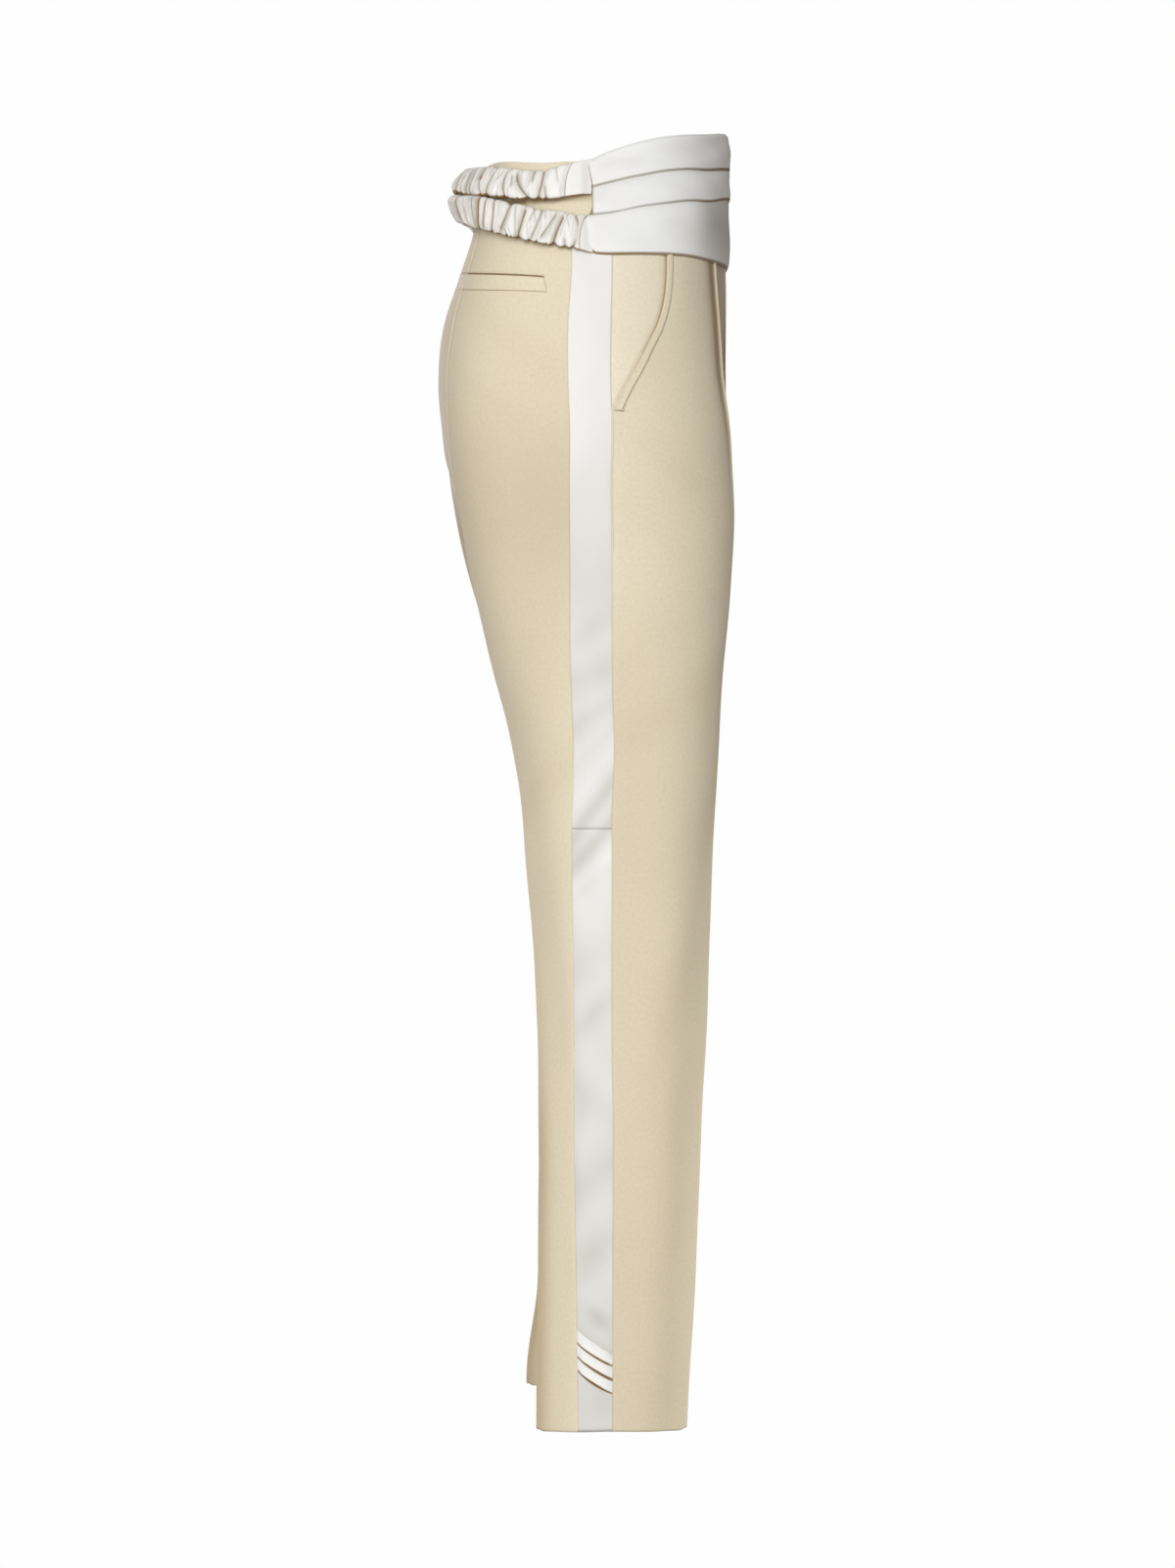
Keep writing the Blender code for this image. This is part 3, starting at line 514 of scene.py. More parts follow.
def new_material(name, **constants):
    """A Principled material with constants set on the shader, and a Shade to build its inputs with."""
    material = bpy.data.materials.new(name)
    material.use_nodes = True
    tree = material.node_tree
    shader = tree.nodes["Principled BSDF"]
    for socket, value in constants.items():
        shader.inputs[socket.replace("_", " ")].default_value = value
    return material, Shade(tree), shader


def feed(shade, shader, **links):
    for socket, value in links.items():
        shade.tree.links.new(value.socket, shader.inputs[socket.replace("_", " ")])


def threads(shade, uv, degrees, pitch):
    """Fine parallel threads: from 0 to 1 by the sine of the distance along a direction on the cloth."""
    angle = math.radians(degrees)
    direction = (math.cos(angle) / pitch, math.sin(angle) / pitch, 0.0)
    settings, inputs = {"operation": "DOT_PRODUCT"}, {0: uv, 1: direction}
    dot = shade.node("ShaderNodeVectorMath", settings, inputs, output="Value")
    return shade.math("SINE", dot * (2 * math.pi)) * 0.5 + 0.5


def weave(shade, shader, colour, soft, dark, **surface):
    """Feeds a cloth's normal, and its colour, which the mesh's painted shade values turn into a soft shade
    colour up to a half and from there into a dark shadow colour: shade and shadow painted into the colour."""
    painted_shade = shade.node("ShaderNodeAttribute", {"attribute_name": "painted_shade"}, output="Fac")
    colour = (painted_shade * 2.0 - 1.0).mix((painted_shade * 2.0).mix(colour, soft), dark)
    feed(shade, shader, Base_Color=colour, Normal=shade.node("ShaderNodeBump", None, surface))


def make_wool(name, dark, light):
    """Beige worsted: a fine steep twill, slightly uneven in colour, with a soft nap."""
    material, shade, shader = new_material(
        name, Roughness=0.88, Sheen_Weight=0.18, Sheen_Roughness=0.45, Specular_IOR_Level=0.22
    )
    uv = shade.node("ShaderNodeUVMap", {"uv_map": "cloth"})
    patches = shade.noise(shade.node("ShaderNodeTexCoord", output="Object"), 9.0, 2.0)
    fibres, flecks = shade.noise(uv, 900.0, 2.0), shade.noise(uv, 330.0, 3.0)
    height = threads(shade, uv, 58, 0.00080) * 0.6 + threads(shade, uv, 0, 0.00052) * 0.2 + fibres * 0.5
    tone = patches * 0.45 + height * 0.25 + flecks * 0.9 - 0.32
    surface = {"Strength": 0.35, "Distance": 0.00012, "Height": height}
    weave(shade, shader, tone.mix(dark, light), WOOL_SHADE, WOOL_SHADOW, **surface)
    return material


def make_satin(name, dark, light, shade_colour):
    """Off-white satin: long floats give a soft sheen, with faint threads and shallow unevenness."""
    material, shade, shader = new_material(
        name, Sheen_Weight=0.08, Sheen_Roughness=0.35, Specular_IOR_Level=0.24
    )
    uv = shade.node("ShaderNodeUVMap", {"uv_map": "cloth"})
    patches = shade.noise(shade.node("ShaderNodeTexCoord", output="Object"), 16.0, 1.5)
    slubs = shade.noise(uv, 500.0, 2.0)
    height = threads(shade, uv, 90, 0.00045) * 0.4 + slubs * 0.5
    tone = patches * 0.6 + slubs * 0.3
    surface = {"Strength": 0.18, "Distance": 0.00008, "Height": height}
    weave(shade, shader, tone.mix(dark, light), shade_colour, SATIN_SHADOW, **surface)
    feed(shade, shader, Roughness=patches * 0.10 + 0.44)
    return material


def make_thread():
    """A plain matt finish with slight unevenness."""
    material, shade, shader = new_material("beige_thread", Roughness=0.7, Specular_IOR_Level=0.2)
    noise = shade.noise(shade.node("ShaderNodeTexCoord", output="Object"), 400.0, 2.0)
    darker = tuple(0.85 * part for part in THREAD_COLOUR[:3]) + (1.0,)
    feed(shade, shader, Base_Color=noise.mix(darker, THREAD_COLOUR))
    return material


WOOL_DARK = (0.621, 0.551, 0.407, 1.0)
WOOL_LIGHT = (0.752, 0.682, 0.529, 1.0)
# A lighter copy of the same wool for the pocket facing: painted light, standing in for the facing being lit
# more than the front beside it.
LIT_FACING_DARK = (0.672, 0.600, 0.462, 1.0)
LIT_FACING_LIGHT = (0.812, 0.742, 0.600, 1.0)
WOOL_SHADE = (0.400, 0.308, 0.182, 1.0)
WOOL_SHADOW = (0.160, 0.090, 0.030, 1.0)
SATIN_DARK = (0.774, 0.780, 0.776, 1.0)
SATIN_LIGHT = (0.848, 0.858, 0.866, 1.0)
SATIN_SHADE = (0.472, 0.455, 0.416, 1.0)
SATIN_SHADOW = (0.240, 0.140, 0.050, 1.0)
# A warmer copy of the same satin for the gathered straps: its warmth and brown shade colour are painted,
# standing in for the warm light among the gathers.
STRAP_SATIN_DARK = (0.790, 0.782, 0.758, 1.0)
STRAP_SATIN_LIGHT = (0.865, 0.860, 0.845, 1.0)
STRAP_SATIN_SHADE = (0.480, 0.450, 0.395, 1.0)
THREAD_COLOUR = (0.60, 0.50, 0.35, 1.0)
WOOL = make_wool("beige_wool", WOOL_DARK, WOOL_LIGHT)
LIT_FACING_WOOL = make_wool("facing_wool_painted_lighter", LIT_FACING_DARK, LIT_FACING_LIGHT)
SATIN = make_satin("off_white_satin", SATIN_DARK, SATIN_LIGHT, SATIN_SHADE)
STRAP_SATIN = make_satin("gathered_satin", STRAP_SATIN_DARK, STRAP_SATIN_LIGHT, STRAP_SATIN_SHADE)
THREAD = make_thread()


# ---------------------------------------------------------------- trouser panels
NEAR = (0.0004, 0.0008, 0.0013, 0.0018, 0.0024, 0.0032, 0.0045, 0.0065)


def leg_levels():
    top = CROTCH_LEVEL + CROTCH_HEIGHT
    upper = np.linspace(WAIST_SEAM - SEAM, top, 46)[:-1]
    below = CROTCH_LEVEL - 0.05 * np.linspace(0, 1, 20)[1:] ** 1.5
    lower = np.linspace(below[-1], HEM_LEVEL + 0.004, 170)[1:]
    hem = HEM_LEVEL + np.array([0.0025, 0.0012, 0.0004, 0.0])
    return np.concatenate([upper, crotch_levels(26), below, lower, hem])


def drape(level, where, phase):
    """Slow unevenness of hanging cloth: three crossed waves, under a millimetre high."""
    return 0.00035 * (
        np.sin(21 * level + 13 * where + phase)
        + 0.7 * np.sin(-34 * level + 29 * where + 2.1 * phase)
        + 0.5 * np.sin(55 * level + 47 * where + 0.7 * phase)
    )


def crease_ridge(distance, height):
    """A pressed crease sewn into a ridge: a narrow bell between two shallow grooves."""
    beside = np.abs(distance) - 2.6 * RIDGE_WIDTH
    return height * bump(distance, RIDGE_WIDTH) - 0.25 * height * bump(beside, 0.0009)


def seam_roll(distance):
    """A panel's edge turning down into a seam, at a distance from it."""
    return -EDGE_ROLL * np.exp(-distance / EDGE_WIDTH)


PAINTED_FOLD_BANDS = (  # lines across the thigh and seat: slope, level, width, and darkness of the painted fold shade along them
    (0.55, -0.400, 0.022, 0.035),
    (0.55, -0.500, 0.030, 0.030),
    (0.55, -0.330, 0.014, 0.025),
    (-0.8, -0.290, 0.018, 0.030),
    (-0.8, -0.360, 0.012, 0.020),
)


def painted_fold_shade(level, where, side_sign):
    """Painted shade standing in for the soft folds of hanging cloth: a broad band from the front crease
    above the knee down and back to the calf, and weaker bands slanting across the thigh and the seat."""
    knee = bump(where - 0.004 + 0.25 * (level + 0.46), 0.017)
    knee = knee * ease((-0.43 - level) / 0.08) * ease((level + 0.80) / 0.15)
    bands = 0.0
    for slope, middle, width, dark in PAINTED_FOLD_BANDS:
        apart = 0.03 * side_sign * (slope > 0)
        bands = bands + dark * bump(level + slope * where + apart - middle, width)
    return 0.05 * knee + bands * (0.6 + 0.4 * np.sin(23 * where + 31 * level))


def hem_roll(level):
    """The hem's fold: its last part turns in as a quarter ellipse."""
    over = np.clip((HEM_FOLD_HEIGHT - (level - HEM_LEVEL)) / HEM_FOLD_HEIGHT, 0.0, 1.0)
    return -HEM_FOLD_DEPTH * (1 - np.sqrt(1 - over**2 * 0.98))


HEM_FOLD_HEIGHT = 0.002
HEM_FOLD_DEPTH = 0.0012
HEM_CORNER = 0.0026  # how much the hem's fold is rounded up at the creases


def painted_strap_shadow(points, edge, form, width):
    """Painted shadow under a strap: a bell curve of the height from its lower edge, a parabola of the depth.
    """
    level, slope, curve = edge
    y = points[..., 1]
    rise = 0.012 * ease(y / 0.05) * (form.side_sign > 0)
    return bump(points[..., 2] - level - rise - slope * y - curve * y**2, width) * ease((y - 0.012) / 0.003)


LEG_SHADING = {  # painted shade: bells over a distance, each setting in or ending at a level of the leg
    "front": (  # distance from, middle, width, darkness, level, and the length it sets in over, + upwards
        ("crease", 0.0094, 0.0070, 0.60, -0.26, 0.16),
        ("crease", 0.0140, 0.0120, 0.12, -0.24, 0.14),
        ("crease", 0.0000, 0.0140, 0.09, -0.30, 0.12),
        ("panel", 0.0000, 0.0600, 0.11, -0.28, -0.12),
    ),
    "back": (("crease", 0.0000, 0.0130, 0.25, -0.52, -0.25),),
}


def leg_panel(form, which):
    """A front or back: rows of levels from the waist seam to the hem, columns from the centre seam or
    inseam over the crease to the pocket's edge or the side panel."""
    front = which == "front"
    level = leg_levels()
    if front:
        edge = panel_edge_y(level, -1)
        edge = np.where(level > POCKET[-1][0], np.minimum(edge, pocket_edge_y(level)), edge)
        crease = form.mark(1, level) + 0.005 * ease((level + 0.23) / 0.08)
        crease += 0.0058 * bump(level + 0.142, 0.042)
        marks = (form.mark(0, level), crease, form.at_y(level, edge) - SEAM)
    else:
        marks = (form.panel_edge(level, 1) + SEAM, form.mark(3, level), form.mark(4, level))
    where = spread(marks, NEAR, (22, 26) if front else (26, 22))
    level = np.broadcast_to(level[:, None], where.shape)
    after, middle, before = where - marks[0][:, None], where - marks[1][:, None], marks[2][:, None] - where
    pressed = 1 - 0.9 * ease((RIDGE_END[which] - level) / 0.16)
    relief = pressed * crease_ridge(middle, RIDGE_HEIGHT[which]) + seam_roll(after) + seam_roll(before)
    relief += drape(level, where, 1.7 if front else 4.2) * ease(after / 0.02) * ease(before / 0.02)
    relief += hem_roll(level)
    flat = form.place(level, where)
    flat[..., 2] += HEM_CORNER * bump(middle, 0.0045) * ease((HEM_LEVEL + 0.014 - level) / 0.014)
    # Painted shade: along the seams and the hem's edge, beside the crease ridge, on the front beyond the
    # crease, over soft folds and the seat, and shadows cast by the straps.
    painted_shade = 0.12 * (bump(after, 0.0006) + bump(before, 0.0006)) + 0.25 * bump(level - HEM_LEVEL, 0.0009)
    beyond, from_panel, beside = (-middle, before, 0.09) if front else (middle, after, 0.22)
    painted_shade += beside * bump(np.abs(middle) - 2.2 * RIDGE_WIDTH, 0.0013) * pressed
    painted_shade += 0.09 * ease(beyond / 0.012) * ease((level + 0.40) / 0.12)
    painted_shade += painted_fold_shade(level, where, form.side_sign)
    for origin, centre, width, dark, start, length in LEG_SHADING[which]:
        distance = middle if origin == "crease" else from_panel
        painted_shade += dark * bump(distance - centre, width) * ease((level - start) / length)
    if front:
        painted_shade += 0.26 * ease((beyond - 0.001) / 0.003) * ease((level + 0.22) / 0.10)
        painted_shade += 0.08 * ease((beyond + 0.022) / 0.014) * bump(level + 0.41, 0.08)
    else:
        calf = ease((-0.70 - level) / 0.1) * ease((-0.52 - level) / 0.25)
        painted_shade += 0.12 * calf * bump(middle, 0.013)
        painted_shade += 0.11 * bump(from_panel - 0.02, 0.045) * bump(level + 0.290, 0.15)
        painted_shade += 0.24 * painted_strap_shadow(flat, LOWER_STRAP_EDGE, form, 0.0045)
        painted_shade += 0.45 * painted_strap_shadow(flat, LOWER_STRAP_EDGE, form, 0.0016)
        painted_shade += 0.11 * bump(level + 0.235, 0.08)
        painted_shade += 0.08 * bump(middle - 0.01, 0.01) * bump(level + 0.25, 0.08)
    # Painted highlight: less painted shade on the crease ridge.
    painted_shade *= 1 - 0.85 * bump(middle, 0.0010) * pressed
    points = flat + form.normal(level, where) * relief[..., None]
    sew(f"{which}_cloth_{form.tag}", f"{which}_{form.tag}", WOOL, points, grain(where, level),
        painted_shade, flat, form.side_sign, WOOL_WALL)


SATIN_SWELL = 0.0005
SATIN_ROW = 0.0030  # from one of its mesh's rows to the next
SATIN_BANDS = (  # middle level, slant, width, darkness of the painted shade, negative for a painted highlight
    (-0.237, 0.6, 0.030, 0.050),
    (-0.310, -0.4, 0.050, 0.100),
    (-0.352, 0.8, 0.010, 0.040),
    (-0.388, 0.4, 0.016, 0.110),
    (-0.421, 0.8, 0.011, 0.100),
    (-0.448, 1.2, 0.006, 0.030),
    (-0.470, 1.4, 0.012, -0.050),
    (-0.499, 1.7, 0.012, 0.190),
    (-0.527, 1.3, 0.010, 0.170),
    (-0.548, 1.1, 0.011, -0.060),
    (-0.556, 0.9, 0.006, 0.030),
    (-0.617, 0.7, 0.020, 0.090),
    (-0.665, 1.0, 0.012, 0.070),
    (-0.735, -0.8, 0.016, 0.060),
    (-0.800, 0.9, 0.020, 0.100),
    (-0.860, 0.6, 0.020, 0.080),
    (-0.982, 0.4, 0.034, 0.080),
)
FACING_DEPTH = 0.0016  # how far under the front's edge the pocket facing starts
SEAM_TUCK = 0.0009  # how far the satin goes in under the wool's edges


def satin_swell(level, across):
    """The side panel's slack: long soft swells that cross it slantwise, stronger below the thigh."""
    growth = 0.35 + 0.65 * ease((-0.22 - level) / 0.25)
    waves = np.sin(38 * level + 1.1 * across) + 0.8 * np.sin(61 * level - 1.6 * across + 1.3)
    waves += 0.6 * np.sin(97 * level + 2.2 * across + 0.4)
    return SATIN_SWELL * growth * waves * np.sqrt(np.clip(1 - across**2, 0.0, 1.0))


def satin_shading(level, across):
    """Painted shade where the satin turns from the light: bell curves of the distance to slanted lines,
    negative ones for painted highlights, a painted dimple, painted shadows along the hem pleats, and a
    darkening that grows down the leg, lighter again below the last pleat.
    """
    shading = np.zeros(level.shape)
    for middle, slant, width, dark in SATIN_BANDS:
        shading += dark * bump(level - middle + 0.015 * slant * across, width)
    shading += 0.15 * bump(level + 0.9125 - 0.008 * across, 0.0075) * bump(across + 0.25, 0.60)
    shading += 0.07 * bump(level + 0.925, 0.030)
    shading += 0.10 * np.exp(-np.maximum(level - pleat_line(0, across) + HEM_PLEAT_TRIM, 0.0) / 0.0035)
    last = pleat_line(HEM_PLEAT_COUNT, across)
    shading -= 0.10 * ease((last - level) / 0.002)
    fold = ease((level - last + 0.0014 + 0.0014 * (1 - across**2)) / 0.0006)
    shading += 0.105 + 0.060 * bump(level + 0.36, 0.13) + 0.04 * ease((-0.3 - level) / 0.2)
    shading += 0.04 * bump(level + 0.25, 0.09) + 0.055 * ease((-0.60 - level) / 0.08)
    return shading + fold * ease((last + 0.004 - level) / 0.001) * (0.65 + 0.35 * (1 - across**2))


def side_panel(form, part, top, bottom):
    """A length of the satin panel: its columns run between the front's and the back's edges."""
    level = np.linspace(top, bottom, int((top - bottom) / SATIN_ROW))
    if part == "lower":
        last = HEM_PLEAT_TOP - HEM_PLEAT_COUNT * HEM_PLEAT_SPACING
        fold_levels = np.arange(last + 0.001, last - HEM_PLEAT_DROP - 0.005, -0.0004)
        level = np.unique(np.concatenate([level, fold_levels]))[::-1]
    marks = [form.panel_edge(level, edge) + edge * SEAM_TUCK for edge in (-1, 1)]
    where = spread(marks, NEAR[:6], (14,))
    across = 2 * (where - marks[0][:, None]) / (marks[1] - marks[0])[:, None] - 1
    level = np.broadcast_to(level[:, None], where.shape)
    tucked = np.minimum(where - marks[0][:, None], marks[1][:, None] - where)
    relief = -0.0007 * (1 - ease((tucked - 0.5 * SEAM_TUCK) / (0.9 * SEAM_TUCK)))
    swell = satin_swell(level, across)
    relief += swell + hem_roll(level)
    from_seam = level - KNEE_SEAM_LEVEL
    relief -= 0.0003 * (ease(from_seam / SEAM_TUCK) if part == "lower" else np.exp(-from_seam / 0.001))
    # Painted shade: a faint line at the knee seam, in the hollows of the swells, and the satin's painted
    # shading.
    painted_shade = 0.02 * bump(from_seam, 0.0008) + np.clip(-swell / SATIN_SWELL, 0.0, 2.0) * 0.03
    painted_shade += satin_shading(level, across)
    flat = form.place(level, where)
    points = flat + form.normal(level, where) * relief[..., None]
    node = f"side_panel_{part}_{form.tag}"
    sew(f"satin_panel_{part}_{form.tag}", node, SATIN, points, grain(where, level), painted_shade, flat,
        form.side_sign, WOOL_WALL)


def pocket_facing(form):
    """The hip piece in the pocket: level with the side panel, and stepping down under the front's edge."""
    level = np.linspace(WAIST_SEAM, POCKET[-1][0] - 0.001, 70)
    opening = form.at_y(level, pocket_edge_y(level))
    outer = form.panel_edge(level, -1) - SEAM
    where = spread((opening - 0.012, opening, np.maximum(outer, opening + 0.0005)), NEAR[:5], (6, 12))
    level = np.broadcast_to(level[:, None], where.shape)
    inside, before = (where - opening[:, None]) / 0.004, outer[:, None] - where
    relief = -FACING_DEPTH + 0.0012 * ease(inside) + 0.0002 * ease(inside / 4)
    relief += seam_roll(np.maximum(before, 0.0)) * 0.6
    flat = form.place(level, where)
    points = flat + form.normal(level, where) * relief[..., None]
    # Painted shade along the pocket opening and the seam.
    painted_shade = (0.14 + 0.44 * ease((level + 0.16) / 0.08)) * bump(where - opening[:, None], 0.0008)
    painted_shade += 0.35 * bump(before, 0.0006)
    sew(f"pocket_facing_cloth_{form.tag}", f"pocket_facing_{form.tag}", LIT_FACING_WOOL, points,
        grain(where, level), painted_shade, flat, form.side_sign, WOOL_WALL)


def ribbon(name, node, form, level, where, profile, painted_shade=0.0):
    """A raised strip of wool. The columns of level and where cross it, and profile is its height over each;
    its underside lies just over the panel. A strip without a node is a stitched detail, not a cut piece."""
    out = form.normal(level, where)
    under = form.place(level, where) + out * RIBBON_CLEAR
    top = under + out * profile[..., None]
    points = np.concatenate([top, under[:, ::-1]], axis=1)
    uv = grain(where, level)
    uv = np.concatenate([uv, uv[:, ::-1]], axis=1)
    dark = np.concatenate([np.broadcast_to(painted_shade, profile.shape), np.zeros(profile.shape)], axis=1)
    if node:
        sew(name, node, WOOL, points, uv, dark, top, form.side_sign, tube=True)
    else:
        add_grid(name, points, uv, WOOL, form.side_sign, True, dark)


POCKET_WELT_WIDTH = 0.0055
RIBBON_CLEAR = 0.0001
STITCH_PITCH = 0.0023
STITCH_STEPS = 9
THREAD_RADIUS = 0.00021
LEAST_RISE = 0.00005  # the least height of a strip over its underside
WAISTBAND_WALL = 0.0022
TACK_STEPS = 90
TACK_TURNS = 18
BACK_LIP_HEIGHT = 0.0022
BACK_POCKET_PROFILE = (  # share of the width, height, and darkness of the painted shade in the mouth and along the edges
    (0.000, 0.00005, 0.8),
    (0.010, 0.0004, 0.3),
    (0.050, 0.0006, 0.0),
    (0.200, 0.0006, 0.0),
    (0.400, 0.0007, 0.0),
    (0.600, 0.0008, 0.0),
    (0.760, 0.0010, 0.0),
    (0.810, 0.0010, 0.1),
    (0.830, 0.0006, 0.7),
    (0.840, 0.0001, 0.85),
    (0.890, 0.0001, 0.85),
    (0.900, 0.0008, 0.6),
    (0.915, 0.0012, 0.1),
    (0.950, 0.0013, 0.0),
    (0.985, 0.0008, 0.0),
    (1.000, 0.00005, 0.2),
)


def pocket_welt(form):
    """The pocket's raised edge: a half-round band beside the opening, square to it, down to the bar
    tack."""
    line = np.linspace(WAIST_SEAM, POCKET[-1][0] + 0.0005, 150)
    path = np.stack([form.at_y(line, pocket_edge_y(line)), line], axis=1)
    ahead = unit(np.gradient(path, axis=0))
    inward = np.stack([ahead[:, 1], -ahead[:, 0]], axis=1)
    across = np.linspace(1.0, 0.0, 17)
    spots = path[:, None] + inward[:, None] * (across * POCKET_WELT_WIDTH)[None, :, None]
    spots[..., 1] = np.maximum(spots[..., 1], line[-1])
    profile = 0.0014 * np.sqrt(np.clip(1 - (2 * across - 1) ** 4, 0.0, 1.0)) + LEAST_RISE
    profile = np.broadcast_to(profile, spots.shape[:2])
    # Painted shade along the welt's edges.
    painted_shade = 0.40 * bump(across - 1.0, 0.08) + 0.20 * bump(across, 0.06) + 0.18 * bump(across - 0.22, 0.05)
    name = f"pocket_edge_{form.tag}"
    ribbon(name, f"pocket_welt_{form.tag}", form, spots[..., 1], spots[..., 0], profile, painted_shade)
    beside = path[25:] + inward[25:] * (POCKET_WELT_WIDTH + 0.0006)
    beside = beside[beside[:, 1] > line[-1] + 0.001]
    stitching(f"pocket_stitches_{form.tag}", form, beside[:, 1], beside[:, 0])
    level = np.linspace(POCKET[-1][0] - 0.002, POCKET[-1][0] - 0.115, 300)
    stitching(f"side_stitches_{form.tag}", form, level, form.panel_edge(level, -1) - 0.0014)
    bar_tack(form)


def stitching(name, form, level, where):
    """Stitches along a path: one thread that lies on the cloth for a stitch, dips under it and comes up
    again. Its height follows the sine of the distance run."""
    rough = form.place(level, where)
    run = np.concatenate([[0.0], np.cumsum(np.linalg.norm(np.diff(rough, axis=0), axis=1))])
    even = np.linspace(0.0, run[-1], int(STITCH_STEPS * run[-1] / STITCH_PITCH))
    level, where = np.interp(even, run, level), np.interp(even, run, where)
    line, out = form.place(level, where), form.normal(level, where)
    aside = unit(np.cross(out, unit(np.gradient(line, axis=0))))
    height = THREAD_RADIUS * np.clip(0.9 + 2.4 * np.sin(2 * np.pi * even / STITCH_PITCH), -2.2, 0.9)
    angle = np.linspace(0.0, 2 * np.pi, 6, endpoint=False)
    ring = out[:, None] * (height[:, None] + THREAD_RADIUS * np.sin(angle))[..., None]
    points = line[:, None] + ring + aside[:, None] * (THREAD_RADIUS * np.cos(angle))[None, :, None]
    uv = grain(*np.broadcast_arrays(where[:, None], level[:, None] + 0 * angle))
    add_grid(name, points, uv, THREAD, form.side_sign, True)


def bar_tack(form):
    """The close zigzag that holds the pocket's lower end: a low bar with a ridge for every turn of its
    thread."""
    end = POCKET[-1][0] + 0.0002
    start = form.at_y(end, pocket_edge_y(end))
    where = start - np.linspace(-0.0004, 0.0076, TACK_STEPS)[::-1, None]
    rise = np.linspace(-1.0, 1.0, 9)[None]
    spots, level = np.broadcast_arrays(where, end + 0.0008 * rise)
    turns = 0.75 + 0.25 * np.sin(np.linspace(0.0, TACK_TURNS * 2 * np.pi, TACK_STEPS))[:, None]
    profile = 0.0007 * turns * np.sqrt(np.clip(1 - rise**4, 0.0, 1.0)) + 0.0012 * (1 - rise**4)
    # Painted shade between the thread's turns and at the bar's edges.
    painted_shade = 0.35 * (1 - turns) + 0.3 * np.abs(rise) ** 3
    ribbon(f"bar_tack_{form.tag}", None, form, level, spots, profile + LEAST_RISE, painted_shade)


def back_welt(form):
    """The back pocket: a thin lip over the slit of its mouth, which is darkened with painted shade, and a
    flat welt below, turned in together at both ends. Its profile goes up from the welt's lower edge."""
    run = np.linspace(0.0, 1.0, 140)[:, None]
    where = form.at_y(np.mean(BACK_WELT_TOP), BACK_WELT_OUTER_Y) + run * BACK_WELT_LENGTH
    top = BACK_WELT_TOP[0] + run * (BACK_WELT_TOP[1] - BACK_WELT_TOP[0])
    rise = lift(form.place(top, where, lifted=False)[..., 1], np.mean(BACK_WELT_TOP), form.side_sign)
    height = BACK_WELT_HEIGHT + BACK_LIP_HEIGHT
    across, profile, painted_shade = np.array(BACK_POCKET_PROFILE).T[:, None]
    level = top - rise + BACK_LIP_HEIGHT - height + across * height
    ends = np.clip(1 - (2 * run - 1) ** 60, 0.02, 1.0) ** 0.5
    raised = np.maximum(profile * ends, LEAST_RISE)
    spots = np.broadcast_to(where, level.shape)
    ribbon(f"back_pocket_{form.tag}", f"back_welt_{form.tag}", form, level, spots, raised, painted_shade)


def waistband(form):
    """A band from the waist seam to its folded top edge: the line round the form, thickened, with a round
    top."""
    height = WAISTBAND_TOP - WAIST_SEAM - WAISTBAND_WALL / 2
    outer = np.linspace(0.0, 1.0, 16) * height
    arc = np.linspace(0.0, np.pi, 8)[1:-1]
    rise = np.concatenate([outer, height + np.sin(arc) * WAISTBAND_WALL / 2, outer[::-1]])
    inset = [0 * outer, WAISTBAND_WALL / 2 * (1 - np.cos(arc)), 0 * outer + WAISTBAND_WALL]
    inset = np.concatenate(inset)
    inset[0] += 0.0005
    level = WAIST_SEAM + SEAM + rise
    start, end = form.mark(0, level), form.mark(4, level)
    where = start + np.linspace(0.0, 1.0, 150)[:, None] * (end - start)[None]
    level = np.broadcast_to(level[None], where.shape)
    points = form.place(level, where) - form.normal(level, where) * inset[None, :, None]
    # Painted shadows cast by the straps.
    painted_shade = 0.60 * painted_strap_shadow(points, UPPER_STRAP_EDGE, form, 0.0026)
    painted_shade += 0.22 * painted_strap_shadow(points, LOWER_STRAP_EDGE, form, 0.0045)
    sew(f"waistband_cloth_{form.tag}", f"waistband_{form.tag}", WOOL, points, grain(where, level),
        painted_shade, points[:, : len(outer)], form.side_sign, tube=True)


def fly(form):
    """The fly's flap: a thin strip along the centre front whose foot curves in to the seam."""
    down = 1 - (1 - np.linspace(0.0, 1.0, 60)[:, None]) ** 1.8
    line = WAIST_SEAM - 0.0008 + down * (FLY_BOTTOM - WAIST_SEAM + 0.0008)
    foot = np.clip((line - FLY_BOTTOM) / 0.045, 0.0, 1.0)
    width = FLY_WIDTH * np.sqrt(1 - (1 - foot) ** 2) + 0.0015
    across = np.linspace(0.0, 1.0, 20)[None]
    where = form.mark(0, line) + 0.0004 + width * across
    profile = 0.0009 * np.clip((width * (1 - across)) / 0.0012, 0.05, 1.0) ** 0.5
    ribbon("fly_flap_R", "fly_R", form, np.broadcast_to(line, where.shape), where, profile)


PLEAT_FOLD = 0.0008  # the radius of a hem pleat's fold


def pleat_line(number, across):
    """The level of a hem pleat's upper edge: a slanted, slightly hanging line. The last one's foot slants
    more."""
    slant = HEM_PLEAT_DROP + 0.0016 * (number == HEM_PLEAT_COUNT) + 0.0008 * (number == HEM_PLEAT_COUNT - 1)
    top = HEM_PLEAT_TOP - number * HEM_PLEAT_SPACING
    return top - slant * (1 - across) / 2 - HEM_PLEAT_SAG * (1 - across**2)


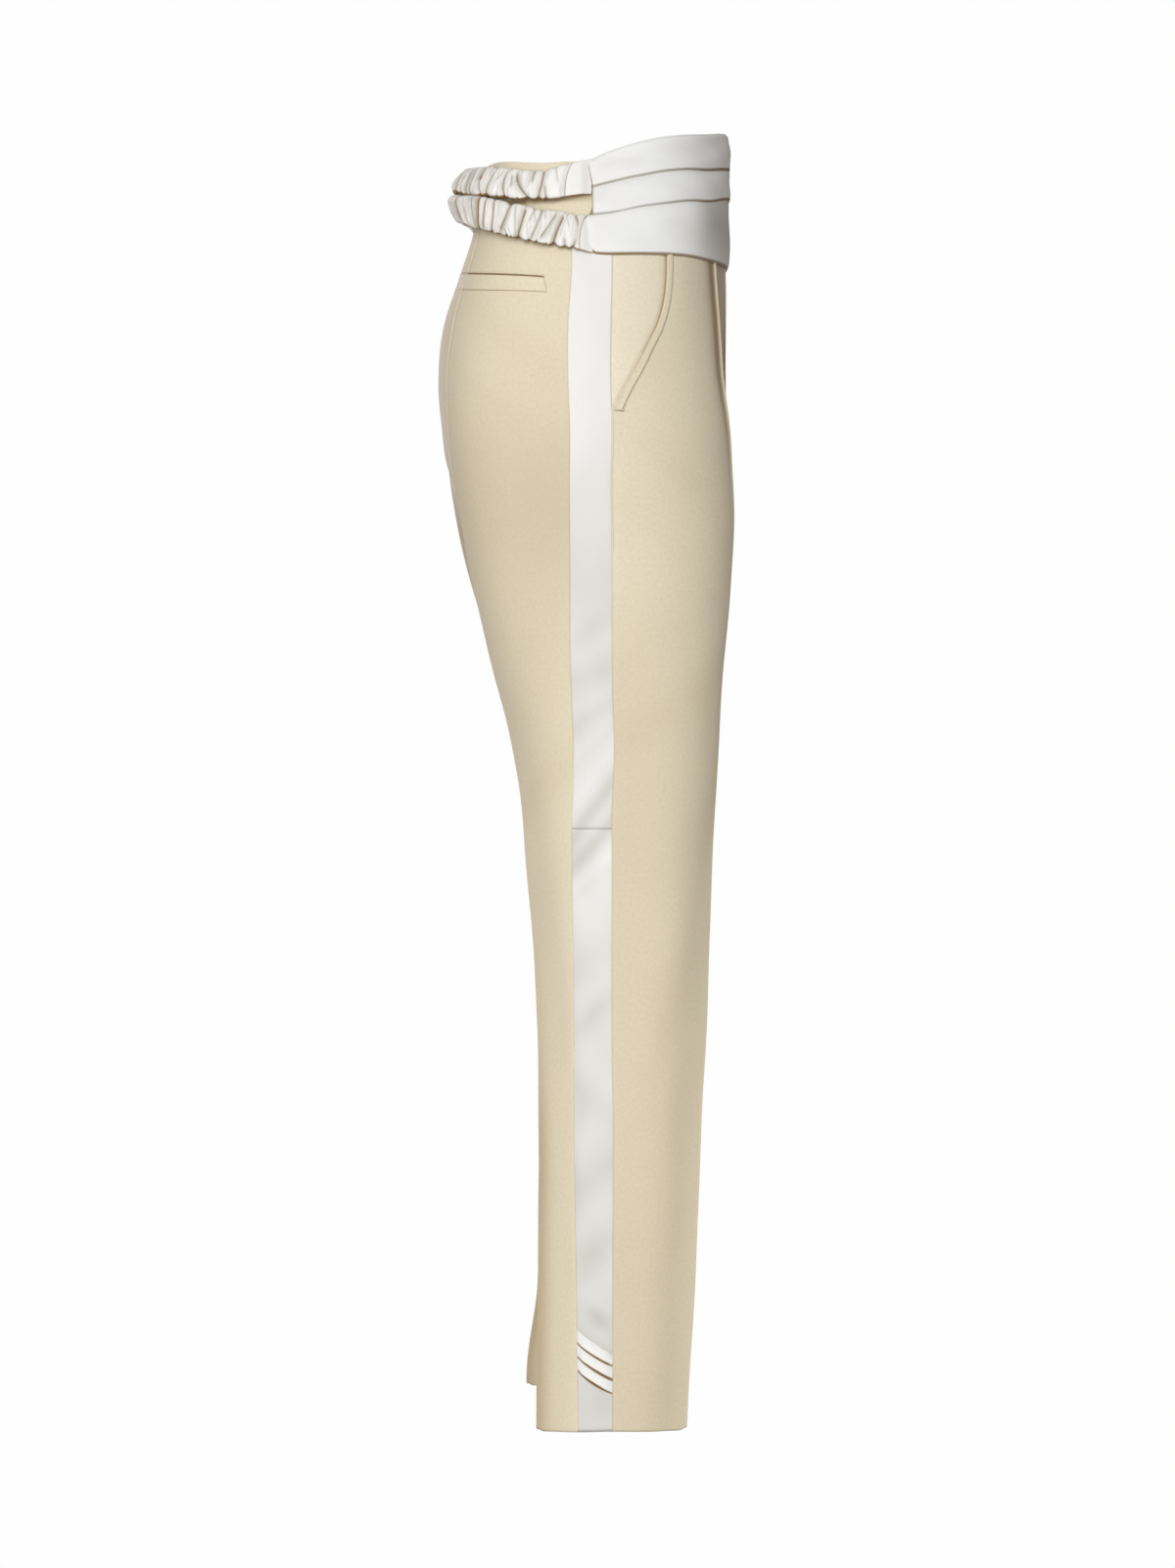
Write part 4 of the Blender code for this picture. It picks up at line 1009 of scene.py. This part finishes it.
def hem_pleats(form):
    """Pleats folded across the foot of the side panel. Each is a slat: its top slips under the pleat above,
    its face swells, and its lower edge turns under in a tight round fold."""
    across = np.linspace(-1.06, 1.06, 40)[:, None]
    down = np.concatenate([np.linspace(0.0, 0.28, 12)[:-1], np.linspace(0.28, 1.0, 11)])
    height = 0.0006 + 0.0022 * down**0.8
    arc = np.linspace(0.0, np.pi, 7)[1:]
    turn = 1 - np.cos(arc)
    out = np.concatenate([height, height[-1] - PLEAT_FOLD * turn, [0.0006]])
    out_turn = np.concatenate([np.zeros(len(down)), turn / 2, [1.0]])
    ends = 1 - 0.8 * ease((np.abs(across) - 0.60) / 0.44) - 1.2 * ease((np.abs(across) - 1.01) / 0.05)
    above = out * ends - PLEAT_FOLD * (1 - ends) * out_turn
    middle = np.sqrt(np.clip(1 - across**2, 0.04, 1.0))
    shaded = np.append(1 - down, np.zeros(7)) ** 1.5 * (0.35 - 0.65 * (across - 1) / 2)
    for number in range(HEM_PLEAT_COUNT):
        start = HEM_PLEAT_TRIM * (number == 0)
        reach = HEM_PLEAT_SPACING + 0.0004 - start
        rest = [reach - PLEAT_FOLD + PLEAT_FOLD * np.sin(arc), [reach - 0.006]]
        drop = np.concatenate([down * (reach - PLEAT_FOLD), *rest])
        level = pleat_line(number, across) - start - drop
        edge = form.panel_edge(level, across)
        points = form.place(level, edge) + form.normal(level, edge) * above[..., None]
        # Painted shade: the fold's underside, the shadow cast by the pleat above, and a face darker towards
        # its upper edge and its front end.
        painted_shade = (0.60 + 0.40 * middle) * ease((out_turn - 0.15) / 0.3)
        if number:
            painted_shade = painted_shade + (0.70 + 0.30 * middle) * ease((0.0021 + 0.0009 * middle - drop) / 0.0006)
        painted_shade = painted_shade + 0.06 + 0.14 * shaded
        sew(f"pleat_{number + 1}_{form.tag}", f"hem_pleat_{number + 1}_{form.tag}", SATIN,
            points[:, ::-1], grain(edge, level)[:, ::-1], painted_shade[:, ::-1], points, form.side_sign, 0.0004)


# ---------------------------------------------------------------- cummerbund
BELT_CLEAR = 0.0022
BELT_END_CLEAR = 0.0012
BELT_WALL = 0.0016
PLEAT_OVERLAP = 0.007
PLEAT_STEP = 0.0014
BELT_STEPS = 361  # from side seam to side seam
BELT_ROWS = (0.0, 0.0005, 0.0012, 0.0022, 0.0035)  # the first rows under a band's edge
TUCKED_ROWS = (-0.0006, -0.0003, 0.0, 0.0003, 0.0006, 0.0009, 0.0012, 0.0015, 0.0019, 0.0024)  # under a fold


def belt_end(part, high):
    """How far a band runs on over the strap sewn to it, by height: 0 at its lower edge, 1 at its visible
    upper edge, and more where it is tucked under the band above."""
    if part == "upper":
        return 0.0040 * high
    if part == "lower":
        return (0.0095 - 0.0055 * np.clip(high, 0.0, 1.0) ** 3) * ease((1.03 - high) / 0.06)
    return 0 * high


def belt_band(part, upper, lower, tuck, stand, puff, phase, shade=0.0, roll=None):
    """A band of the cummerbund: a flat tube whose outer face swells between its edges. Its edges' heights
    go by the share of the way from the centre front to the side seam, and its lower edge stands out over
    the band below. The edge in roll, 0 the upper or 1 the lower, is also rolled in, as a quarter ellipse of
    a width and depth."""
    form = RIGHT
    share = np.linspace(-1.0, 1.0, BELT_STEPS)[:, None]
    reach = np.abs(share)
    fold = look_up(BELT, BELT_COLUMNS, upper, reach)
    top = fold + tuck
    bottom = look_up(BELT, BELT_COLUMNS, lower, reach)
    if part == "upper":
        top = top - 0.0026 * ease((reach - 0.90) / 0.10) - 0.0014 * bump(reach - 0.72, 0.16)
    if part == "lower":
        bottom = bottom + 0.0085 * ease((reach - 0.945) / 0.05)
    height = top - bottom
    round_edge = BELT_WALL / 2
    near = np.array([0.0, 0.5 * tuck, *(tuck + np.array(TUCKED_ROWS))] if tuck else BELT_ROWS)
    rest = np.array([0.06, 0.12, *np.linspace(0.2, 0.9, 15), 0.94, 0.97, 0.985, 1.0])
    face = [np.broadcast_to(near, (BELT_STEPS, len(near))), near[-1] + rest * (height - near[-1])]
    face = np.concatenate(face, axis=1) / height
    rows = face.shape[1]
    arc = np.linspace(0.0, np.pi, 7)[1:-1]
    around = np.concatenate([np.ones(5), np.linspace(1.0, 0.0, 10), np.zeros(5)])
    down = np.concatenate([face, np.broadcast_to(around, (BELT_STEPS, len(around)))], axis=1)
    over = np.concatenate([np.zeros(rows), np.sin(arc), np.zeros(10), -np.sin(arc)]) * round_edge
    inset = np.concatenate([np.zeros(rows), 1 - np.cos(arc), np.full(10, 2.0), 1 + np.cos(arc)]) * round_edge
    level = top - round_edge - down * (height - 2 * round_edge) - over
    centre = form.mark(0, level)
    high = (level - bottom) / (height - tuck)
    where = centre + reach * (form.at_y(level, BELT_END_Y + belt_end(part, high)) - centre)
    swell = puff * np.sin(np.pi * np.clip(down, 0, 1)) ** 0.8
    clear = BELT_CLEAR + (BELT_END_CLEAR - BELT_CLEAR) * ease((reach - 0.82) / 0.18)
    slack = 0.0005 * np.sin(9 * share + 5 * down + phase) * np.sin(np.pi * down)
    slack = slack + 0.0003 * np.sin(23 * share - 7 * down + 2 * phase) * np.sin(np.pi * down)
    out = clear + BELT_WALL + stand * ease(down * 1.2 - 0.1) + swell + slack - inset
    if roll:
        edge, width, deep = roll
        away = np.clip(np.abs(down - edge) * height / width, 0.0, 1.0)
        out = out - deep * (1 - np.sqrt(1 - (1 - away) ** 2))
    base = form.place(level, where, lifted=False)
    points = base + form.normal(level, where, lifted=False) * out[..., None]
    points[..., 0] *= np.where(share < 0, -1, 1)
    points[BELT_STEPS // 2, :, 0] = 0.0
    # Painted shade: dark lines along the lower edges and under the fold above, a line at each end, and
    # darkening over the swells, towards the ends and, on the lower band, at the front.
    front = 1 - 0.58 * ease(reach * 1.15)
    hem = front if stand else 0.90
    painted_shade = hem * np.concatenate([np.zeros(rows), np.ones(5), [0.7, 0.3], np.zeros(13)])
    if tuck:
        under = fold - level
        thick = 0.0009 + 0.0006 * (1 - ease(reach * 1.3))
        painted_shade = painted_shade + front * ease((thick + 0.0006 - under) / 0.0006)
        painted_shade = painted_shade + 0.10 * ease((0.006 - under) / 0.006)
    painted_shade = painted_shade + 0.75 * bump(1 - reach, 0.004)
    painted_shade[:, :rows] += (0.6 if stand else 0.9) * hem * ease((face - 0.976) / 0.014)
    painted_shade = painted_shade + 0.04 * ease(slack / 0.0005) + 0.09 * ease((reach - 0.7) / 0.25)
    painted_shade = painted_shade + shade * (1 - ease((reach - 0.42) / 0.18)) * np.sin(np.pi * down) ** 0.5
    uv = grain((where - centre) * np.sign(share), level)
    sew(f"cummerbund_{part}", f"belt_{part}", SATIN, points[:, ::-1], uv[:, ::-1],
        np.clip(painted_shade, 0.0, 1.0)[:, ::-1], points[:, :rows], tube=True)


# ---------------------------------------------------------------- gathered straps
GATHERS = {  # one side's valleys: upper_y, lower_y and bow in mm, from_v, to_v, depth, width in mm
    "strap_upper": (
        (29.0, 33.0, 0.0, -1.2, -0.1, 0.50, 1.5),
        (42.0, 35.0, 1.0, -1.1, -0.2, 0.60, 3.0),
        (53.8, 56.5, 0.6, -1.2, 1.2, 0.90, 3.2),
        (53.0, 50.5, 0.0, -1.2, -0.1, 0.60, 2.0),
        (60.8, 62.5, 0.0, 0.0, 1.2, 0.60, 3.0),
        (75.8, 65.0, -3.0, -1.2, 0.8, 1.00, 4.0),
        (79.0, 76.0, 0.0, -0.4, 0.6, 0.60, 2.2),
        (83.2, 82.0, -2.2, -1.2, 0.9, 0.90, 3.0),
        (85.0, 93.0, 0.0, 0.0, 0.8, 0.65, 2.2),
        (93.2, 95.0, -0.6, -1.2, 1.2, 0.90, 3.2),
        (105.5, 95.5, 0.0, -1.2, 0.3, 1.00, 2.0),
        (102.0, 100.5, 0.0, -0.2, 1.2, 0.90, 2.6),
        (110.5, 102.0, 0.6, -1.2, 1.0, 0.80, 2.4),
        (114.5, 104.5, 1.0, -1.2, 0.8, 0.95, 2.6),
        (118.8, 108.5, 1.2, -1.2, 1.1, 1.00, 2.6),
        (122.0, 113.0, 1.2, -1.2, 0.9, 0.90, 2.2),
        (124.5, 116.8, 1.0, -1.2, 1.1, 1.00, 2.2),
        (127.0, 120.5, 0.8, -1.2, 0.6, 0.90, 2.0),
        (130.0, 124.0, 0.6, -1.2, 1.2, 0.70, 1.8),
    ),
    "strap_lower": (
        (28.5, 30.0, 3.5, -1.2, 1.2, 0.80, 3.0),
        (37.0, 45.0, -0.4, -1.2, 0.9, 1.00, 2.8),
        (40.0, 36.0, 0.0, -1.2, -0.5, 0.60, 1.6),
        (44.0, 57.0, 0.8, -0.9, 1.0, 0.75, 5.0),
        (55.5, 63.0, 0.8, -1.0, 1.2, 0.75, 2.6),
        (60.0, 69.0, 0.0, 0.0, 1.2, 0.45, 2.2),
        (68.0, 73.0, 0.5, -1.2, 1.0, 0.90, 3.0),
        (76.0, 74.5, 0.0, -1.2, 1.0, 0.40, 2.6),
        (81.0, 88.0, 1.0, -1.0, 1.2, 1.00, 4.2),
        (86.0, 82.0, 0.0, -1.2, -0.6, 0.80, 1.4),
        (93.0, 94.5, 1.8, -1.2, 1.1, 0.85, 2.8),
        (98.5, 101.0, 0.8, -1.0, 1.2, 0.80, 2.6),
        (103.5, 104.5, 1.2, -1.2, 1.1, 0.95, 2.8),
        (108.5, 107.0, 0.6, -1.2, 1.1, 0.80, 2.4),
        (113.0, 109.5, 0.0, -1.2, 1.1, 0.80, 2.4),
        (117.0, 118.0, -0.8, -1.2, 1.2, 1.00, 2.8),
        (121.5, 119.0, 0.0, -1.2, 0.7, 0.70, 1.8),
        (124.5, 122.5, 0.6, -1.2, 1.2, 0.60, 1.6),
        (127.5, 125.5, 0.8, -1.2, 1.2, 0.80, 1.8),
        (130.0, 129.0, 0.0, -1.2, 1.2, 0.60, 1.4),
    ),
}
STRAP_STEPS = 1001
STRAP_SIDES = 72
CASING_WIDTH = 1.15  # the casing's face to the strap's height
GATHER_PITCH = 0.0050
GATHER_SPREAD = 1.7
GATHER_LEAN = 0.0078
GATHER_LINE = 0.00058
GATHER_SHIFT = 0.0016  # how far a valley strays from its place
WRINKLE_PITCH = 0.0022
WRINKLE_WIDTH = 0.0022
WRINKLE_LINE = 0.00040


def gathers(node, u, v, depth_y, seed):
    """A gathered surface's height, 0 in its valleys and 1 on its puffs, and its painted shade: dark lines
    painted along the valleys and shade painted on one side of each, stronger round the back. u is the
    distance along the strap, v runs from -1 at its lower edge to 1 at its upper, and depth_y is how far back
    each place lies. A valley crosses the strap on its own bowed line, the cloth rises beside it as a quarter
    circle, and where valleys meet the deeper one counts. The other side has the same valleys, each moved a
    little, and round the back they stand at uneven steps."""
    draw = np.random.default_rng(seed)
    middle = len(u) // 2
    halves = (slice(middle, None, -1), 1), (slice(middle, None), -1)
    lines = []
    for upper_mm, lower_mm, bow, from_v, to_v, depth, width in GATHERS[node]:
        for half, sign in halves:
            shift = 0.0 if sign > 0 else draw.normal(0.0, GATHER_SHIFT)
            there = (depth_y[half][::-1], u[half][::-1])
            upper, lower = (np.interp(y / 1000 + shift, *there) for y in (upper_mm, lower_mm))
            centre, lean = (upper + lower) / 2, np.clip((upper - lower) / 2, -GATHER_LEAN, GATHER_LEAN)
            ends = (centre + lean, centre - lean, -sign * bow / 1000)
            lines.append((*ends, from_v, to_v, depth, GATHER_SPREAD * width / 1000))
    edge = (max(row[0] for row in GATHERS[node]) + 1) / 1000
    at, end = (np.interp(edge, depth_y[half][::-1], u[half][::-1]) for half, sign in halves)
    while at < end:
        lean, bow = draw.normal(0.0, GATHER_SHIFT, 2)
        short = draw.choice([0.0, 0.0, 1.1])
        side = draw.choice([-1, 1])
        window = (-1.2 + short * (side > 0), 1.2 - short * (side < 0), draw.uniform(0.4, 1.0))
        lines.append((at + lean, at - lean, bow, *window, draw.uniform(0.0022, 0.0050)))
        at += GATHER_PITCH * draw.uniform(0.4, 1.4)
    valley, line, shadow = np.zeros((3, len(u), v.shape[1]))
    u = u[:, None]
    facing = np.clip(np.abs(np.gradient(depth_y, u[:, 0])), 0.35, 1.0)[:, None] ** 0.6
    for upper, lower, bow, from_v, to_v, depth, width in lines:
        away = facing * (u - (upper * (1 + v) + lower * (1 - v)) / 2 - bow * (1 - v**2))
        window = ease((v - from_v + 0.1) / 0.35) * ease((to_v - v + 0.1) / 0.35) * depth
        near = 1 - np.clip(np.abs(away) / width, 0.0, 1.0)
        valley = np.maximum(valley, window * (0.5 * (1 - np.sqrt(1 - near**2)) + 0.5 * near**1.6))
        line = np.maximum(line, window * bump(away, GATHER_LINE))
        side = draw.choice([-1, 1], p=[0.7, 0.3])
        shadow = np.maximum(shadow, window * near**1.3 * np.where(away * side > 0, 1.0, 0.35))
    for at in draw.uniform(0.0, u[-1, 0], int(u[-1, 0] / WRINKLE_PITCH)):
        slant, side = draw.normal(0.0, 0.0022), draw.choice([-1, 1])
        away = u - at - slant * v - draw.normal(0.0, 0.0014) * v**2
        window = ease((v * side + draw.uniform(-0.6, 0.8)) / 0.5) * draw.uniform(0.15, 0.50)
        near = 1 - np.clip(np.abs(away) / WRINKLE_WIDTH, 0.0, 1.0)
        valley = np.maximum(valley, window * near**1.5)
        line = np.maximum(line, 0.7 * window * bump(away, WRINKLE_LINE))
        shadow = np.maximum(shadow, 0.8 * window * near * (away * side > 0))
    # Stronger painted shade round the back, weaker again at the very centre.
    round_back = 1 + (0.7 * ease((depth_y - 0.088) / 0.02) - 0.7 * ease((depth_y - 0.122) / 0.006))[:, None]
    return 1 - valley, np.clip(0.035 + round_back * (0.66 * line + 0.56 * shadow), 0.0, 1.0)


def strap(node, seed, join, join_lean, rise):
    """A gathered strap: a flattened tube from side seam to side seam round the back. Its cross-section is a
    rounded box whose outer side and edges swell with the gathers; both ends are flat where they are sewn
    in."""
    form = RIGHT
    share = np.linspace(-1.0, 1.0, STRAP_STEPS)
    t = 1 - np.abs(share)
    left = np.sin(np.pi * np.maximum(share, 0.0))
    size = {n: look_up(STRAPS[node], STRAP_COLUMNS, n, t) for n in STRAP_COLUMNS[1:]}
    size["middle"] += rise * left
    if node == "strap_lower":
        size["clear"] *= 1 - 0.8 * left**2
    near_end = 1 - ease(t / 0.05)
    size["thick"] *= 1 - 0.55 * near_end
    size["clear"] -= 0.0006 * near_end
    edges = []
    for half in (-0.5, 0.5):
        level = size["middle"] + half * size["height"]
        start = form.at_y(level, BELT_END_Y) + 0.0004
        where = start + t * (form.mark(4, level) - start)
        edges.append(form.place(level, where, lifted=False))
    lower, upper = edges
    up = unit(upper - lower)
    ahead = unit(np.gradient((lower + upper) / 2, axis=0)) * np.where(share < 0, 1, -1)[:, None]
    ahead[share == 0] = (-1.0, 0.0, 0.0)
    out = unit(np.cross(ahead, up))
    middle = (lower + upper) / 2 + out * (size["clear"] + size["thick"] / 2)[:, None]
    lean = np.radians(size["lean"])[:, None]
    up, out = up * np.cos(lean) + out * np.sin(lean), out * np.cos(lean) - up * np.sin(lean)
    for line in (middle, up, out):
        line[:, 0] *= np.where(share < 0, -1, 1)
    middle[share == 0, 0] = 0.0
    u = np.concatenate([[0.0], np.cumsum(np.linalg.norm(np.diff(middle, axis=0), axis=1))])
    angle = np.linspace(2 * np.pi, 0.0, STRAP_SIDES, endpoint=False)[None]
    round_out = np.sign(np.cos(angle)) * np.abs(np.cos(angle)) ** 0.7
    round_up = np.sign(np.sin(angle)) * np.abs(np.sin(angle)) ** 0.65
    puff, dark = gathers(node, u, round_up, middle[:, 1], seed)
    to_join = np.minimum(u, u[-1] - u)[:, None] - join + join_lean * ((1 + round_up) / 2) ** 3
    flat_end = ease(to_join / 0.005)
    seam = 1 - 0.7 * np.exp(-np.abs(to_join) / 0.0008)
    outer = ease(0.5 + 0.9 * np.cos(angle))
    swell = 0.40 + 0.95 * puff * flat_end * seam + 0.4 * (1 - flat_end) * seam
    thick = size["thick"][:, None] / 2 * (swell * outer + (0.8 + 0.15 * puff) * (1 - outer))
    tall = size["height"][:, None] / 2 * (1.0 + 0.30 * (puff - 0.80) * flat_end)
    points = middle[:, None] + out[:, None] * (thick * round_out)[..., None]
    points = points + up[:, None] * (tall * round_up)[..., None]
    uv = grain(*np.broadcast_arrays(round_up * 0.014, u[:, None]))
    # Painted shade: the gathers' shade, a line at each join, the dark underside where the strap meets the
    # cloth below, the flat ends and the side that turns away.
    painted_shade = dark * flat_end + 0.6 * bump(to_join, 0.0005)
    under = ease((-0.88 - round_up) / 0.08) * ease((0.40 - np.cos(angle)) / 0.2)
    if node == "strap_lower":
        under = under * (1 - 0.8 * ease((middle[:, 1] - 0.095) / 0.015))[:, None]
    painted_shade = np.clip(painted_shade + 0.85 * under + 0.07 * (1 - flat_end) + 0.10 * (1 - outer), 0.0, 1.0)
    piece = add_grid(f"gathered_{node}", points, uv, STRAP_SATIN, 1, True, painted_shade)
    CASING_WIDTH * size["height"].mean()
    finish_piece(node)


# ---------------------------------------------------------------- stage, light and camera
VIEW_LEVEL = -0.476
VIEW_DISTANCE = 3.10
VIEW_TURN = math.radians(2.5)
VIEW_MIDDLE_Y = 0.012


def put(name, data, location, direction):
    """Links a camera or light at a place, looking in a direction."""
    thing = bpy.data.objects.new(name, data)
    thing.location = location
    thing.rotation_mode = "QUATERNION"
    thing.rotation_quaternion = direction.to_track_quat("-Z", "Y")
    bpy.context.scene.collection.objects.link(thing)
    return thing


def add_camera():
    forward = Vector((math.cos(VIEW_TURN), -math.sin(VIEW_TURN), 0.0))
    data = bpy.data.cameras.new("camera")
    data.sensor_width = 36.0
    data.lens = 82.85
    location = Vector((0.0, VIEW_MIDDLE_Y, VIEW_LEVEL)) - forward * VIEW_DISTANCE
    bpy.context.scene.camera = put("camera", data, location, forward)


def add_light(name, kind, location, target, power, colour, **settings):
    data = bpy.data.lights.new(name, kind)
    data.energy = power
    data.color = colour
    for key, value in settings.items():
        setattr(data, key, value)
    put(name, data, location, Vector(target) - Vector(location))


def add_stage():
    """A white room round the object that only the camera sees, so that it adds no light of its own."""
    material = bpy.data.materials.new("stage_white")
    material.use_nodes = True
    shader = material.node_tree.nodes["Principled BSDF"]
    shader.inputs["Base Color"].default_value = (0.0, 0.0, 0.0, 1.0)
    shader.inputs["Specular IOR Level"].default_value = 0.0
    shader.inputs["Emission Color"].default_value = (0.992, 0.992, 0.992, 1.0)
    shader.inputs["Emission Strength"].default_value = 1.0
    span, floor, ceiling = 9.0, HEM_LEVEL - 0.35, 7.0
    square = ((-span, -span), (span, -span), (span, span), (-span, span))
    corners = [(x, y, z) for z in (floor, ceiling) for x, y in square]
    faces = [(0, 1, 2, 3), (0, 4, 5, 1), (1, 5, 6, 2), (2, 6, 7, 3), (3, 7, 4, 0), (4, 7, 6, 5)]
    mesh = bpy.data.meshes.new("studio")
    mesh.from_pydata(corners, [], faces)
    mesh.materials.append(material)
    room = bpy.data.objects.new("studio", mesh)
    bpy.context.scene.collection.objects.link(room)
    for flag in ("visible_diffuse", "visible_glossy", "visible_transmission", "visible_shadow"):
        setattr(room, flag, False)


LIGHTS = (  # name, place, target, width and height or None for a spot, power, colour
    ("key", (-3.1, 0.56, 0.20), (0.0, 0.0, -0.45), (1.8, 2.6), 93.0, (0.985, 0.995, 1.0)),
    ("low_front", (-0.7, -2.6, -1.15), (-0.10, 0.0, -0.84), None, 96.0, (1.0, 0.96, 0.89)),
    ("low_back", (-1.4, 2.4, -1.05), (-0.10, 0.0, -0.90), None, 44.0, (1.0, 0.97, 0.92)),
    ("left_fill", (2.8, 0.45, 0.30), (0.0, 0.0, -0.45), (1.8, 2.2), 62.0, (1.0, 0.98, 0.95)),
    ("back_fill", (-1.1, 2.7, 0.20), (0.0, 0.1, -0.05), (1.2, 1.2), 9.0, (1.0, 0.93, 0.82)),
)
SPOT = {"spot_size": math.radians(30.0), "spot_blend": 1.0, "shadow_soft_size": 0.4}


def add_lights():
    world = bpy.data.worlds.new("studio")
    world.use_nodes = True
    background = world.node_tree.nodes["Background"]
    background.inputs["Color"].default_value = (1.0, 0.93, 0.85, 1.0)
    background.inputs["Strength"].default_value = 0.27
    bpy.context.scene.world = world
    for name, location, target, size, power, colour in LIGHTS:
        area = {"shape": "RECTANGLE", "size": size[0], "size_y": size[1]} if size else SPOT
        add_light(name, "AREA" if size else "SPOT", location, target, power, colour, **area)
    bpy.context.scene.view_settings.view_transform = "Standard"


def main():
    add_camera()
    add_stage()
    add_lights()
    for form in (LEFT, RIGHT):
        leg_panel(form, "front")
        leg_panel(form, "back")
        side_panel(form, "upper", WAIST_SEAM - SEAM, KNEE_SEAM_LEVEL)
        side_panel(form, "lower", KNEE_SEAM_LEVEL + SEAM_TUCK, HEM_LEVEL)
        pocket_facing(form)
        pocket_welt(form)
        back_welt(form)
        waistband(form)
        hem_pleats(form)
    fly(RIGHT)
    belt_band("upper", "top", "upper_pleat", 0.0, PLEAT_STEP, 0.0006, 0.3, roll=(0, 0.0030, 0.0016))
    belt_band("middle", "upper_pleat", "lower_pleat", PLEAT_OVERLAP, PLEAT_STEP, 0.0008, 1.9)
    belt_band("lower", "lower_pleat", "bottom", PLEAT_OVERLAP, 0.0, 0.0010, 4.0, 0.38, (1, 0.0080, 0.0022))
    strap("strap_upper", 7, 0.0220, 0.0052, LEFT_STRAP_RISE + 0.002)
    strap("strap_lower", 12, 0.0106, 0.0055, LEFT_STRAP_RISE + 0.009)


main()
